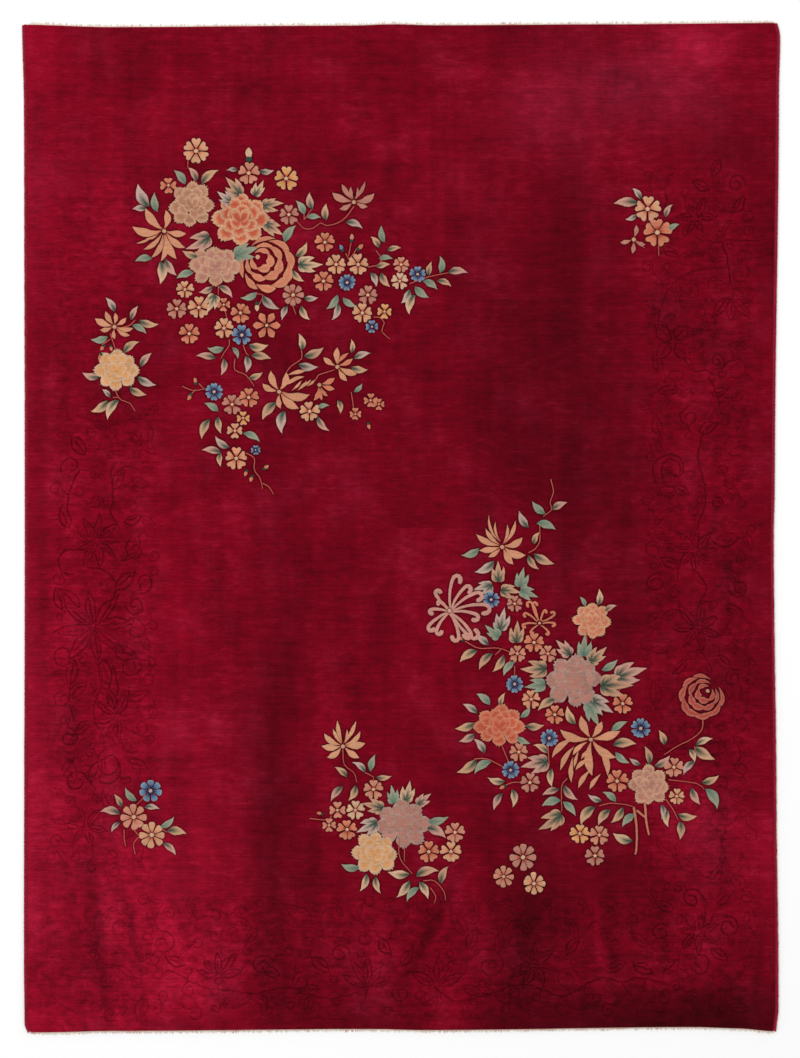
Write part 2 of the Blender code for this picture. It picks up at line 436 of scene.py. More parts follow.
def smoothLine(points, step):  # an even line through the given points, by a Catmull-Rom spline
    knots = [2 * points[0] - points[1], *points, 2 * points[-1] - points[-2]]
    line = []
    for first, second, third, fourth in zip(knots, knots[1:], knots[2:], knots[3:]):
        for t in np.linspace(0, 1, max(2, int(abs(third - second) / step) + 1))[:-1]:
            line.append(0.5 * (2 * second + (third - first) * t
                               + (2 * first - 5 * second + 4 * third - fourth) * t * t
                               + (3 * second - first - 3 * third + fourth) * t ** 3))
    return np.array(line + [points[-1]])


def stem(spray, places, width=0.38, tone="twig"):  # a twig, or a trunk where it is wide
    line = smoothLine([plane(*place) for place in places], 1.2 * cm)
    aside = 1j * np.gradient(line)
    aside /= abs(aside)
    line = line + aside * chance.normal(0, 0.25 * mm, len(line))
    half = width * cm / 2 * np.linspace(1.05, 0.8, len(line))
    across = columnPlaces[3]
    place = line[:, None] + aside[:, None] * half[:, None] * across[None, :]
    height = pile["top"] + pile["stemRise"] - 0.3 * mm * across[None, :] ** 2 + 0 * half[:, None]
    spray.addShell(place, height, np.tile(dyes[tone] * chance.normal(1, 0.04), (place.size, 1)))


def star(spray, x, y, radius, petals, tone):
    hub, size = plane(x, y), radius * cm
    for number in range(petals):
        way = np.exp(1j * number * math.tau / petals)
        spray.cushion(hub + way * size * 0.18, way * size * 0.82, size * 0.27, "star",
                      petalShade(tone, heart=0.2), pile["petalRise"] - 0.2 * mm)
    dot(spray, hub, size * 0.12, dyes["cream"], pile["petalRise"])


# the sprays: places in centimetres from the rug's middle, reaches and tips in centimetres from their base
# leaves, lobed leaves and petals, by tone: x, y, reach x, reach y; petals also half width and curl
# blossoms and stars: x, y, radius, petals, tone; buds: x, y, reach x, reach y, tone
# peonies: x, y, width, height, tone, dye of the cells; coiled: x, y, radius, tone, hub x, hub y as shares
# rays: x, y, tone, tips; curls: x, y, tone, tips with the way they roll, width, hub

upperLeft = {
    "stems": (
        ((-77, 134), (-77, 130)),
        ((-17, 116), (-20, 112), (-23, 110), (-27, 109), (-29, 110), (-32, 108), (-35, 108), (-38, 111)),
        ((-35, 113), (-35, 111), (-33, 114), (-32, 115)),
        ((-10, 76), (-8, 76), (-6, 74), (-7, 71), (-4, 68)), ((-62, 68), (-62, 66), (-64, 63), (-65, 61)),
        ((-60, 61), (-60, 57), (-56, 55), (-53, 51)), ((-36, 64), (-36, 61), (-40, 58), (-42, 55)),
        ((-31, 53), (-30, 55), (-27, 56), (-24, 57)),
        ((-56, 27), (-53, 25), (-53, 21), (-51, 18), (-50, 14)), ((-50, 16), (-48, 15), (-46, 12)),
        ((-79, 51), (-75, 49.5), (-71, 50)), ((-73, 52), (-71, 50)), ((-76, 48), (-74, 50)),
        ((-17, 42), (-18, 49)), ((-64, 80), (-63, 76)), ((-9, 100), (-7, 97), (-7, 94)),
        ((-12, 94), (-8, 95), (-7, 97)), ((-20, 99), (-19, 97), (-17, 99), (-16, 101)),
        ((-19, 98), (-18, 103)), ((-56, 84), (-50, 84), (-52, 79)), ((-39, 80), (-38, 77)),
        ((3, 88), (8, 90), (12, 91), (17, 92)), ((-57, 66), (-56, 63), (-55, 62)), ((-66, 89), (-66, 84)),
    ),
    "leaves": {
        "sage": (
            (-78, 124, -4, 5), (-88, 114, -1, 7), (-42, 103, 4, 6), (-90, 97, -6, -1), (-75, 92, -6, -2),
            (-35, 113, -3, 5), (-34, 112, 5, 0), (-6, 103, -1, 6), (-8, 97, 5, 0), (-23, 84, -4, -5),
            (-21, 83, 5, -3), (14, 92, 0, 6), (8, 89, 5, -3), (5, 87, 5, -4), (-64, 65, -6, 0),
            (-30, 43, 4, 1), (-57, 34, 6, -3), (-66, 42, -5, 3), (-52, 85, -6, -2), (-61, 65, 2, -4),
            (-17, 49, 3, 3),
        ),
        "grey": (
            (-91, 116, -4, 8), (-92, 115, -5, 0), (-59, 129, -4, 0), (-51, 129, 5, 0), (-20, 110, 6, -2),
            (-11, 92, 2, -5), (-23, 81, -2, -6), (-35, 83, 5, 0), (-50, 84, 6, -5), (-41, 80, -2, -5),
            (-56, 62, 0, -6), (-37, 59, 7, -1), (-17, 61, 6, 2), (-42, 42, -1, -8), (-62, 29, -5, 4),
            (3, 86, -3, -5),
        ),
        "pink": (
            (-74, 125, -3, 5), (-85, 97, 4, -6), (-32, 115, -1, 6), (-68, 87, -5, -2), (-66, 87, 5, -4),
            (-67, 61, -7, 1), (-64, 61, -1, -6), (-30, 40, 4, -5), (-65, 27, -7, 1), (17, 92, 7, 0),
        ),
        "peach": (
            (-72, 124, 6, 5), (-73, 98, -6, 2), (-27, 111, 0, 6), (-38, 98, 4, 5), (-39, 93, 4, -4),
            (-8, 101, -3, 4), (-5, 100, 5, 1), (-9, 94, 5, 1), (10, 91, 1, 5), (-55, 66, 7, 0),
            (-55, 54, 5, 2), (-18, 63, 0, 5), (-18, 58, 6, -1), (-23, 46, 1, -5), (-66, 40, 1, -6),
            (-69, 39, -3, -7), (-65, 27, 0, -5),
        ),
        "cream": ((-87, 96, 0, -8), (5, 84, -2, -7), (-36, 64, -1, 6), (-36, 80, 3, -5)),
        "beige": ((-7, 92, 3, -5), (13, 89, 5, -2), (-54, 62, 7, -1), (-35, 62, 7, 3), (-45, 45, -5, -6)),
    },
    "lobed": {
        "sage": ((-60, 98, 8, 3),),
        "grey": ((-61, 117, -5, 4),),
        "pink": ((-69, 105, -8, -4),),
        "cream": ((-53, 120, 3, 5), (-37, 95, 8, 0), (-67, 84, -3, -6)),
        "beige": ((-58, 120, -5, 6), (-50, 116, 7, 1), (-49, 110, 6, -4)),
    },
    "blossoms": (
        (-74, 136, 4.7, 6, "peach"), (-84, 123.5, 2.9, 4, "coral"), (-55, 128, 4.0, 5, "rose"),
        (-41.5, 126, 4.3, 5, "gold"), (-40.5, 113, 3.6, 5, "dusty"), (-27.5, 103, 3.6, 5, "coral"),
        (-23.5, 95, 3.6, 5, "peach"), (-15.5, 95, 3.8, 5, "peach"), (-28, 89, 3.6, 5, "coral"),
        (-19.5, 88.5, 3.1, 6, "blue"), (0, 95, 2.9, 5, "rose"), (-0.5, 89, 3.1, 5, "cream"),
        (6, 91.5, 2.9, 5, "blue"), (-12, 84, 3.4, 5, "dusty"), (-14, 77.5, 3.6, 5, "peach"),
        (-6, 78, 2.7, 4, "gold"), (-10.5, 72.5, 2.3, 4, "blue"), (-78, 86, 3.2, 5, "peach"),
        (-81, 79, 3.6, 5, "dusty"), (-73, 79.5, 4.0, 5, "peach"), (-64, 80.5, 2.4, 4, "coral"),
        (-58, 77.5, 3.6, 5, "coral"), (-64, 72, 3.6, 5, "peach"), (-57.5, 69.5, 3.6, 5, "blue"),
        (-39, 84, 4.0, 8, "dusty"), (-76.5, 70, 3.6, 5, "coral"), (-67.5, 49, 3.2, 6, "blue"),
        (-61, 44.5, 3.6, 5, "dusty"), (-55, 47, 3.6, 5, "coral"), (-33, 42, 3.6, 5, "peach"),
        (-57, 39.5, 2.4, 4, "gold"), (-60, 35, 2.8, 4, "peach"), (-59.5, 25, 4.0, 5, "apricot"),
        (-52.5, 28, 1.8, 4, "blue"), (-16.5, 41, 2.2, 4, "coral"), (-11, 46, 2.4, 4, "coral"),
        (-8, 44.5, 2.1, 4, "coral"),
    ),
    "stars": ((-48.5, 73, 5.0, 6, "coral"),),
    "peonies": (
        (-75.5, 116.5, 16, 16.5, "beige", "sand"), (-58, 111.5, 21, 19.5, "peach", "coral"),
        (-67, 94.5, 19, 14.5, "beige", "dusty"),
    ),
    "coiled": ((-48.5, 95, 9.6, "coral", -0.34, 0.28),),
    "rays": (
        (-85.5, 107, "apricot", ((-6.7, 8.2), (0.5, 7.5), (-11.4, 1.7), (-10.1, -4.4), (-6.6, -2.6),
                                 (-7.4, -6.6), (-4.6, -9.5), (-1.2, -10.8), (4.4, -9.9), (7.4, -5.9),
                                 (7.8, -0.8))),
        (-17, 117.5, "dusty", ((-7.8, 3.4), (-4.4, 6.5), (-1.1, 5.5), (1.2, 5.3), (4, 7.5), (7.2, 3.1),
                               (-5.2, -2.5), (4.9, -1.7))),
        (-44, 49, "apricot", ((-3, 7.5), (2.5, 7), (-6, 3), (7, -6), (11, -1), (0.5, -6))),
        (-23, 58, "apricot", ((0, 7), (-5, 3.5), (7, -2.5), (3.5, -5))),
        (-29.5, 51.5, "coral", ((5.5, 2.5), (5.5, -1.5), (3, -4), (1, -5.5), (-2, -5.5))),
    ),
    "petals": {
        "apricot": (
            (-41, 55, 6.5, 1.5, 0.75, -0.2), (-42, 52, 7, 2.5, 0.7, -0.2), (-43, 51, 5, 2, 0.45, -0.2),
            (-39.5, 49.5, 3.5, 3.5, 0.5, 0.2), (-37.5, 49.5, 3.5, 3.5, 0.5, 0.2),
            (-36, 50.5, 3.5, 3, 0.45, 0.2), (-34, 51, 3, 2.5, 0.4, 0.2),
        ),
        "coral": ((-22.5, 58.5, 5, 2.5, 0.9, 0.3), (-23, 59, 4, 4, 0.7, -0.3)),
    },
    "buds": (
        (-55, 132, 0, 5.2, "cream"), (-18, 103, 0.3, 3, "rose"), (-16, 100, 2.2, 2.2, "coral"),
        (-21, 99.5, -1, 2.6, "blue"), (-52, 81.5, 0, -3.4, "cream"), (-74, 51.5, -0.5, 2.6, "coral"),
        (-75.5, 48.5, -1.5, -2.4, "coral"), (-55.5, 21, -1, -2.4, "coral"),
        (-53.5, 19, -1, -2.4, "coral"), (-50, 21, 2.2, 1.4, "coral"), (-12, 38, 0.6, -2.4, "coral"),
    ),
}

leftSmall = {
    "stems": (
        ((-105, 70), (-104, 67), (-103, 64)), ((-103, 52), (-103, 49), (-101, 46), (-98, 45), (-96, 42)),
        ((-96, 75), (-98, 73), (-102, 72)), ((-104, 47), (-102, 47)), ((-108, 66), (-105, 68)),
    ),
    "leaves": {
        "sage": ((-97, 73, 5, -3), (-106, 69, -6, -1)),
        "grey": ((-103.5, 78, -3, 5), (-95, 54.5, 6.5, -3), (-105, 47, -3, 3)),
        "pink": ((-94, 58, 4, 5), (-109, 54.5, -6, 1.5), (-97.5, 75, 2.5, 5)),
        "peach": ((-94.5, 75, 7, -1.5), (-100, 63, 5.5, 4), (-98, 50.5, 6, -2.5), (-106, 46, -6, -4)),
        "cream": ((-102, 46, -4, -7),),
    },
    "peonies": ((-102.5, 57, 16, 15, "cream", "gold"),),
    "rays": (
        (-103.5, 72.5, "apricot", ((-7, 3), (-3.2, 5.6), (0.2, 5), (4.2, 3.2), (6.8, -0.4), (5.7, -3.1),
                                   (0.2, -4.4), (-5.2, -1.1))),
    ),
    "buds": ((-107, 66, -1.5, -2.0, "coral"), (-105, 66, 0.5, -2.2, "coral"),
             (-108, 63, -1.2, -2.4, "coral")),
}

upperRight = {
    "stems": (
        ((84, 104), (86, 102), (88, 101)), ((93, 102), (93, 98)), ((86, 118), (88, 116)),
        ((95, 110), (93, 107)),
    ),
    "leaves": {
        "sage": ((96.5, 107, 4, 2.5),),
        "grey": ((85, 113, -4, -1.7), (86.5, 118.5, -3, 4)),
        "pink": ((85.5, 117, -8.7, 0), (95.5, 112, 2.5, 4.6)),
    },
    "blossoms": ((89, 115, 4.7, 5, "peach"), (92.5, 106.5, 5.2, 5, "coral")),
    "rays": ((84, 104, "dusty", ((0.8, 5.2), (-4.8, -1), (-0.5, -5), (4.2, -1.8))),),
}

lowerRight = {
    "stems": (
        ((54, 17.5), (55, 13), (53.8, 9), (54.3, 6.5), (51.3, 4)),
        ((109, -68.5), (108.5, -73), (104.5, -76.5), (99.5, -79), (95, -82)),
        ((23, -41), (28, -43.5), (35, -43.5), (39.5, -45)), ((67, -36), (67, -42)),
        ((36.5, -79), (39, -85)), ((26.5, -83.5), (31, -83.5), (37, -86.5)),
        ((36, -94), (40, -92), (43.5, -92)), ((60, -90.5), (58, -93.5), (58, -102.5)),
        ((96.5, -91), (101, -91.5), (107, -92.5), (109.5, -94.5)),
        ((95.5, -98), (98, -101.5), (100, -105.5)),
        ((71.5, -100.5), (75.5, -99.5), (81, -100), (84.5, -101)),
        ((46, -9), (48, -8), (50, -5), (50, 1)), ((37, -14), (36, -18)), ((36, -44), (34, -46)),
        ((40, -46), (39, -49)), ((41, -50), (41, -54)), ((79, -58), (78, -61)), ((53, -79), (53.5, -86)),
        ((106, -79), (106, -84)),
    ),
    "trunks": (
        ((84, -101), (85, -108), (85, -115), (84.5, -118)), ((88, -99), (88.5, -106), (89.5, -111)),
        ((85, -102), (88.5, -105)),
    ),
    "leaves": {
        "sage": (
            (52, 5, -4.7, 4.5), (49, 1.5, 6.8, -2.2), (28, -7.5, -6.3, -2.4), (41, -48.5, -4, -5),
            (72.5, -51.5, 5.7, 3.9), (32, -64, -4.8, 4), (43, -68.5, 3.5, 4), (41.5, -75.5, 5.2, -2.4),
            (32.5, -84.5, -6, -4.4), (76, -73.5, 5.7, 3.5), (77.5, -81, 5, -4), (110, -94.5, 4, -7),
            (57.5, -98.5, -6.6, -2), (58.5, -99, 4.5, -5), (77.5, -99, -4.7, 3.5),
            (84.5, -103.5, -4.7, -4.5), (66.5, -28.5, -2, 3.5),
        ),
        "grey": (
            (46, 0, -3.4, 6), (33.5, -12, -7, -4), (31.5, -42.5, -4.8, 3.4), (27.5, -67, -5.3, 3.3),
            (30, -81.5, -3.7, 5.2), (106, -84.5, -4, -4.7), (86.5, -85.5, -4, 2.3), (94, -100, 0, -5.3),
            (72.5, -98.5, -5, 2.2),
        ),
        "pink": (
            (54.5, 6.5, 5.4, 2.6), (26.5, -74.5, -5.5, -2.7), (91.5, -86, 5.5, 3.7), (57, -94.5, -6, -2),
            (59, -93, 4.7, -5.2), (36.5, -96, -3, -6), (73.5, -30.5, 4.4, 2.4), (105, -94, 3, -6),
        ),
        "peach": (
            (48, -6, 2, 4.3), (27.5, -44.5, -6.3, -4), (37, -46, -4, -6), (56, -62, -6.6, -4),
            (36, -64.5, 1.6, 4.8), (26.5, -70.5, -7, -2), (27, -83.5, -6.8, -4.8), (53, -81.5, -5.2, 3),
            (63, -71, -3, 6.6), (76.5, -78.5, 8.4, 0.4), (95, -78.5, -2, 5.3), (106, -79, 7.2, -4.7),
            (100, -103.5, 6.8, -0.6), (70, -101, -5, -6.3), (80, -101, -4.2, -5.5),
            (108.5, -92, 6.2, 2.5),
        ),
        "cream": (
            (37.5, -91.5, -6.2, 1.3), (54.5, -87, 0, -6.6), (104, -80, 2, -4.7), (83.5, -113, -7, 2.7),
            (40, -94.5, 0.3, -6.4), (71, -28, 0.5, 5.8), (96.5, -102, 0, -6), (106.5, -78.5, 6, 2.3),
        ),
        "beige": (
            (48, -9.5, 7.3, -3.6), (46, -10, 3.7, -5), (45, -71.5, 6.6, 0.2), (89.5, -85.5, -1.6, 6.6),
            (33, -45.5, -4.8, -5.8), (75.5, -102, -4.2, -5.4), (100.5, -106, 0.2, -6.6),
        ),
    },
    "lobed": {
        "sage": (
            (43, -21.5, 1.2, 6.6), (43, -22.5, 6, -2.4), (35.5, -39.5, -4.8, 4), (66, -46.5, 0.4, 7.2),
            (52, -56.5, -6.8, -1), (68, -63, 3.2, -8),
        ),
        "grey": ((33, -21, -6.3, -1.4), (35.5, -37, 1.7, 7.5), (68.5, -62, 7.4, -4.4)),
        "pink": ((61, -46, -4.7, 5), (77.5, -54, 10.3, 3), (53, -84.5, -9, -1.8)),
        "beige": (
            (35, -19.5, 0, 6.8), (36, -22.5, 6.7, -1), (41.5, -41.5, 0.5, 7.3), (52.5, -51, -8.7, 0),
            (68, -48.5, 5.7, 5), (72, -57, 11, 0), (58, -103.5, -7.7, -5),
        ),
    },
    "blossoms": (
        (32.5, -26, 3.1, 6, "blue"), (41, -27.5, 2.9, 5, "dusty"), (42, -45.5, 3.1, 5, "rose"),
        (48, -41.5, 3.6, 5, "coral"), (53, -45.5, 3.1, 5, "rose"), (41, -56.5, 3.2, 6, "blue"),
        (47, -62, 3.4, 5, "apricot"), (55.5, -67.5, 3.4, 5, "coral"), (53.5, -76, 3.2, 6, "blue"),
        (42.5, -81, 3.4, 5, "rose"), (39.5, -87.5, 3.2, 6, "blue"), (46.5, -92, 3.6, 5, "dusty"),
        (80, -63.5, 3.6, 5, "coral"), (86.5, -72.5, 3.6, 6, "blue"), (78, -91.5, 4.0, 5, "coral"),
        (98.5, -86.5, 3.6, 5, "rose"), (99.5, -97, 2.9, 5, "peach"), (64.5, -110.5, 3.6, 5, "gold"),
        (71.5, -111, 3.6, 5, "rose"), (70, -118.5, 3.6, 5, "dusty"),
    ),
    "peonies": (
        (69, -33.5, 13.7, 13, "peach", "salmon"), (62.5, -55.5, 20.6, 19.3, "mauve", "dusty"),
        (35.5, -71.5, 18, 15, "coral", "coral"), (89.5, -93, 14.8, 14.3, "beige", "dusty"),
    ),
    "rays": (
        (36.5, -7, "apricot", ((-4.8, 11.4), (-2.4, 9), (1.8, 8), (4.8, 9.4), (7.2, 3.4), (8.4, -2.9),
                               (3.9, -6.3), (-5, -3.6), (-8.2, -1.2), (-9.4, 4.6), (-6, 6.6))),
        (68.5, -76.5, "apricot", ((-11, 3.5), (-3.5, 8.5), (10.5, 3), (9, -6.5), (0.5, -13), (4, 6.5))),
    ),
    "petals": {
        "apricot": (
            (62.5, -76, -8, -7, 1.2, 0.4), (62.5, -79, -5, -8.5, 1.0, 0.3), (62, -83, -0.5, -9, 0.9, 0.2),
            (64, -80.5, -1.5, -6, 0.6, 0.1), (67, -77.5, -5, -4.5, 0.9, 0.3),
            (68, -80, -3, -3.5, 0.6, 0.2), (68.5, -83, -5.5, -4.5, 0.8, 0.3),
            (68.5, -87.5, -4.5, -6.5, 0.9, 0.3), (70.5, -79, 4, -10.5, 1.2, -0.5),
            (72, -89, -4, -5.5, 0.8, 0.2),
        ),
    },
    "curls": (
        (17.5, -30, "orchid", ((-3.5, 7, -1), (4, 11, -1), (7.5, 7, -1), (11, 4, -1), (13, -1, -1),
                               (9, -3.5, -1), (10, -7.5, 1), (5.5, -9.5, -1), (1, -10, -1), (-3, -8, 1),
                               (-6, -7, 1), (-6.5, -1, 1), (-4, 2.5, 1))),
        (50, -34.5, "coral", ((-4.5, 6.5, 1), (-1, 7, -1), (2.5, 4, -1), (4.5, 4, 1), (-5.5, 2.5, 1),
                              (-5.5, -1.5, 1), (5, -1, -1), (2.5, -4, -1), (-2.5, -3.5, 1)), 0.5, 0.5),
    ),
    "coiled": ((108.5, -61, 7.8, "ruby", 0.28, 0.26),),
    "buds": ((22.5, -41, -1.6, 1.6, "coral"), (38, -93, -2.4, -1.2, "coral")),
}

looseTrio = {
    "blossoms": ((44, -119, 4.7, 8, "dusty"), (37, -126, 3.8, 8, "rose"), (48, -128.5, 4.0, 8, "peach")),
}

bottomMiddle = {
    "stems": (
        ((-21, -80), (-20.5, -85.5), (-17, -88.5), (-16, -92)), ((-33, -105), (-27, -105.5), (-25, -104)),
        ((-0.5, -111.5), (-0.5, -119), (4, -125)), ((1.2, -115), (1.2, -120.5)),
        ((8, -127.5), (12, -127.5), (15.5, -131.5), (16, -134.5)),
        ((10.5, -130), (12.5, -133), (12, -135.5)), ((-13, -88.5), (-10, -90), (-10, -92)),
    ),
    "leaves": {
        "sage": ((-11, -88, 1.6, 6), (9.5, -106, 7.6, 1.6), (-15, -122.5, -6.6, 1), (6.5, -130, -4.4, -5)),
        "grey": ((-13, -88.5, -4.6, 3.7),),
        "pink": ((-21, -93.5, -4.4, -5.3), (9, -108.5, 7, -3.5)),
        "peach": ((-19.5, -90, -4.4, 3.5), (-9, -90, 5.5, 0.3), (-16.5, -93, -2.5, -5.5)),
        "cream": (
            (-12.5, -125, -2.3, -6.2), (-9, -126, 1.6, -6), (3, -125, -7.8, 0.7), (3, -127.5, -4.6, -6),
            (6.5, -128, 3.2, -6),
        ),
        "beige": ((5.5, -126, 8, 2), (14.5, -128.5, 2.5, 6.2)),
    },
    "lobed": {
        "sage": ((-2.5, -99.5, -1, 6),),
        "grey": ((-8.5, -106.5, -7, -3.2),),
        "pink": ((6, -100, 4.4, 3.7),),
        "cream": ((1.5, -99, 1.6, 7),),
        "beige": ((-6.5, -101.5, -7, 1.8),),
    },
    "blossoms": (
        (-10, -94.5, 3.6, 5, "rose"), (-16.5, -102, 3.4, 5, "cream"), (-23, -102, 3.0, 4, "rose"),
        (-26, -107.5, 2.5, 4, "rose"), (-19.5, -109, 3.6, 5, "coral"), (19.5, -110, 3.6, 5, "rose"),
        (10, -117, 3.8, 5, "coral"), (18, -117, 3.8, 5, "peach"),
    ),
    "peonies": ((0.7, -106.7, 19.5, 17, "mauve", "dusty"), (-9.5, -117.5, 17, 15.2, "cream", "gold")),
    "rays": (
        (-21, -79, "peach", ((-2, 9.2), (4.7, 9), (-6.7, 4.6), (-7.6, 0.3), (-5.7, -3.9), (5.8, -4.1),
                             (8, 1.2), (1.4, 6.2), (6.2, 5.4), (-3.6, 6.4))),
    ),
    "buds": ((-28, -103.5, -2.4, 0.6, "coral"),),
}

bottomLeft = {
    "stems": (
        ((-92, -95), (-93.5, -98), (-95.5, -100)), ((-100, -109), (-100, -112), (-99.5, -115)),
        ((-94.5, -111.5), (-96.5, -114), (-96, -118)), ((-96.5, -109), (-94.5, -111.5)),
        ((-86, -109), (-84.5, -110)),
    ),
    "leaves": {
        "sage": ((-95.5, -98.5, -4, 4.5), (-87, -108, 5, 3.6)),
        "grey": ((-101.5, -106.5, -3, -3.5), (-92.5, -101, 5.3, -0.5)),
        "pink": ((-101.5, -103.5, -7, 1), (-86, -114, 4.6, -4.2)),
        "peach": ((-84.5, -109.5, 7, -1),),
        "beige": ((-101, -101, -2.6, 4.7),),
    },
    "blossoms": ((-90.5, -95, 4.0, 7, "blue"), (-96.5, -104.5, 4.7, 8, "rose"),
                 (-90, -111, 4.7, 8, "peach")),
}


def growSpray(name, plan, finish):
    spray = Spray(name)
    for places in plan.get("stems", ()):
        stem(spray, places)
    for places in plan.get("trunks", ()):
        stem(spray, places, width=0.85, tone="bark")
    for kind, draw in (("leaves", leaf), ("lobed", lobedLeaf), ("petals", petal)):
        for tone, rows in plan.get(kind, {}).items():
            for row in rows:
                draw(spray, *row, tone)
    for kind, draw in (("blossoms", blossom), ("stars", star), ("buds", bud), ("rays", rays),
                       ("curls", curls), ("peonies", peony), ("coiled", coiled)):
        for row in plan.get(kind, ()):
            draw(spray, *row)
    piece = spray.mesh(finish)
    print(name, len(spray.outlines), "cushions,", len(piece.data.polygons), "faces")
    return spray, piece


# how the rug lies: soft troughs, each with painted shade along it, lighter on one side and darker on the
# other, and a little cockling x at a trough's low and high end, their y, all in centimetres, depth in mm,
# half width in cm, strength of the painted shade along it
troughs = (
    (-46, -44, -180, -60, 1.6, 5.0, 0.16), (-23, -24, -180, -40, 1.3, 4.0, -0.12),
    (3, 24, -166, -122, 1.5, 3.2, 0.32), (38, 34, -170, 10, 1.0, 5.0, 0.12),
    (-103, -112, -182, -122, 1.5, 3.2, 0.34), (-94, -101, -156, -122, 1.2, 2.2, 0.32),
    (-72, -90, -164, -124, 1.4, 2.6, -0.20), (75, 70, -176, -134, 1.4, 2.4, -0.36),
    (66, 64, 10, 170, 0.9, 6.0, 0.10), (-66, -68, 60, 180, 0.7, 6.0, -0.06),
    (104, 106, -120, 40, 1.0, 4.0, -0.10), (-128, -126, -150, 100, 0.9, 2.2, 0.16),
    (56, 58, -40, 60, 0.8, 2.6, -0.12),
)
cockling = 0.25 * mm
troughEase = 15  # over how many centimetres a trough starts and ends


def foldsOf(x, y):  # how far the surface dips, and the painted light and shade of the pile along it, lighter on one side of a trough and darker on the other
    dip = cockling * (1 + np.sin(2.1 * x + 1.3 * y) * np.cos(1.7 * y - 0.8 * x))
    brushedLightAndShade = np.zeros_like(x)
    for lowX, highX, low, high, depth, half, shade in troughs:
        share = np.clip((y / cm - low) / (high - low), 0, 1)
        off = (x - (lowX + (highX - lowX) * share) * cm - 0.015 * np.sin(2.4 * y + lowX)) / (half * cm)
        weight = np.exp(-off ** 2) * smoothStep(low - troughEase, low + troughEase, y / cm)
        weight = weight * (1 - smoothStep(high - troughEase, high + troughEase, y / cm))
        dip = dip + depth * mm * weight
        brushedLightAndShade = brushedLightAndShade + shade * (1.6 * off - 0.5) * weight
    return dip, brushedLightAndShade


def lieOf(x, y):  # the shift in height that the troughs give
    return -foldsOf(x, y)[0]


# the relief: grooves clipped round every motif, and the carved border

relief = {
    "cell": 2.5 * mm,  # of the grid that marks where the motifs are
    "margin": 0.01,  # how far that grid goes past the rug, m
    "groove": 2.9 * mm,  # depth of the cut round a motif
    "carved": 1.8 * mm,  # depth of a line of the tone-on-tone border
    "carvedHalf": 5.5 * mm,
    "lipHighlight": -0.32,  # painted highlight: the pile beside a carved line is coloured this much lighter, as a share of its depth
    "step": 6 * mm,  # between the points of a carved line
    "drift": 4 * mm,  # how unevenly the shears follow it
    "mainDepths": (0.55, 1.2),  # shares of the carved depth
    "sprigDepths": (0.3, 0.75),
}
gridLow = np.array((cadLow.x, cadLow.y)) - relief["margin"]
gridSize = tuple(int((cadHigh[axis] - cadLow[axis] + 2 * relief["margin"]) / relief["cell"])
                 for axis in (1, 0))


def fillOutline(mask, outline):  # marks the cells inside one closed outline, by the even-odd rule
    across = (outline.real - gridLow[0]) / relief["cell"]
    upward = (outline.imag - gridLow[1]) / relief["cell"]
    left, right = int(across.min()), int(across.max()) + 2
    low, high = int(upward.min()), int(upward.max()) + 2
    columns, rows = np.meshgrid(np.arange(left, right), np.arange(low, high))
    inside = np.zeros(columns.shape, bool)
    for x0, y0, x1, y1 in zip(across, upward, np.roll(across, 1), np.roll(upward, 1)):
        crosses = (y0 > rows) != (y1 > rows)
        inside ^= crosses & (columns < (x1 - x0) * (rows - y0) / (y1 - y0 + 1e-12) + x0)
    mask[low:high, left:right] |= inside


def grown(mask, times):  # wider by one cell each time
    for step in range(times):
        wider = mask.copy()
        for axis in (0, 1):
            for way in (-1, 1):
                wider |= np.roll(mask, way, axis)
        mask = wider
    return mask


def softened(field):
    for axis in (0, 1):
        field = (2 * field + np.roll(field, 1, axis) + np.roll(field, -1, axis)) / 4
    return field


def softenedLine(values):
    padded = np.concatenate((values[:1], values[:1], values, values[-1:], values[-1:]))
    return np.convolve(padded, np.ones(5) / 5, "valid")


def sampled(field, places):  # the field's value at each place
    spots = np.stack((places.imag - gridLow[1], places.real - gridLow[0])) / relief["cell"]
    row, column = (np.clip(spot.round().astype(int), 0, size - 1) for spot, size in zip(spots, gridSize))
    return field[row, column]


def oneEach(places, spacing):  # which places to keep so that each square of the given size has one
    squares = np.column_stack(((places.real / spacing).round(), (places.imag / spacing).round()))
    return np.sort(np.unique(squares, axis=0, return_index=True)[1])


def ringPlaces(mask, first, last, spacing):  # places round the motifs, first to last cell away from them
    rows, columns = np.nonzero(grown(mask, last) & ~grown(mask, first))
    places = (columns * relief["cell"] + gridLow[0]) + 1j * (rows * relief["cell"] + gridLow[1])
    return places[oneEach(places, spacing)]


# the carved border, in the ground's own wool

def scroll(x, y, radius, start, turns, way):  # a hook that winds in; angles in degrees, sizes in cm
    share = np.linspace(0, 1, 14)
    angle = math.radians(start) + way * turns * math.tau * share
    return [plane(x, y) + radius * cm * (1 - 0.66 * part) * np.exp(1j * turn)
            for part, turn in zip(share, angle)]


def carvedLeaf(x, y, reachX, reachY, slim=0.24):  # two sides and a vein
    base, reach = plane(x, y), plane(reachX, reachY)
    bend = chance.uniform(-0.12, 0.12)

    def edge(part, side):
        width = slim * math.sin(math.pi * part ** 0.85) ** 0.9
        return base + reach * part + 1j * reach * (side * width + bend * part * (1 - part))
    strokes = [[edge(part, side) for part in (0, 0.15, 0.35, 0.55, 0.75, 0.92, 1)] for side in (1, -1)]
    vein = [base + reach * 0.12, base + reach * complex(0.4, bend * 0.24), base + reach * 0.72]
    return [*strokes, vein]


def carvedFlower(x, y, radius, petals, turn, spread, slim):
    strokes = []
    for number in range(petals):
        share = number / petals if spread == 360 else number / (petals - 1) - 0.5
        angle = math.radians(turn + spread * share)
        length = radius * chance.uniform(0.85, 1.1)
        strokes += carvedLeaf(x + 1.2 * math.cos(angle), y + 1.2 * math.sin(angle),
                              length * math.cos(angle), length * math.sin(angle), slim)
    return strokes


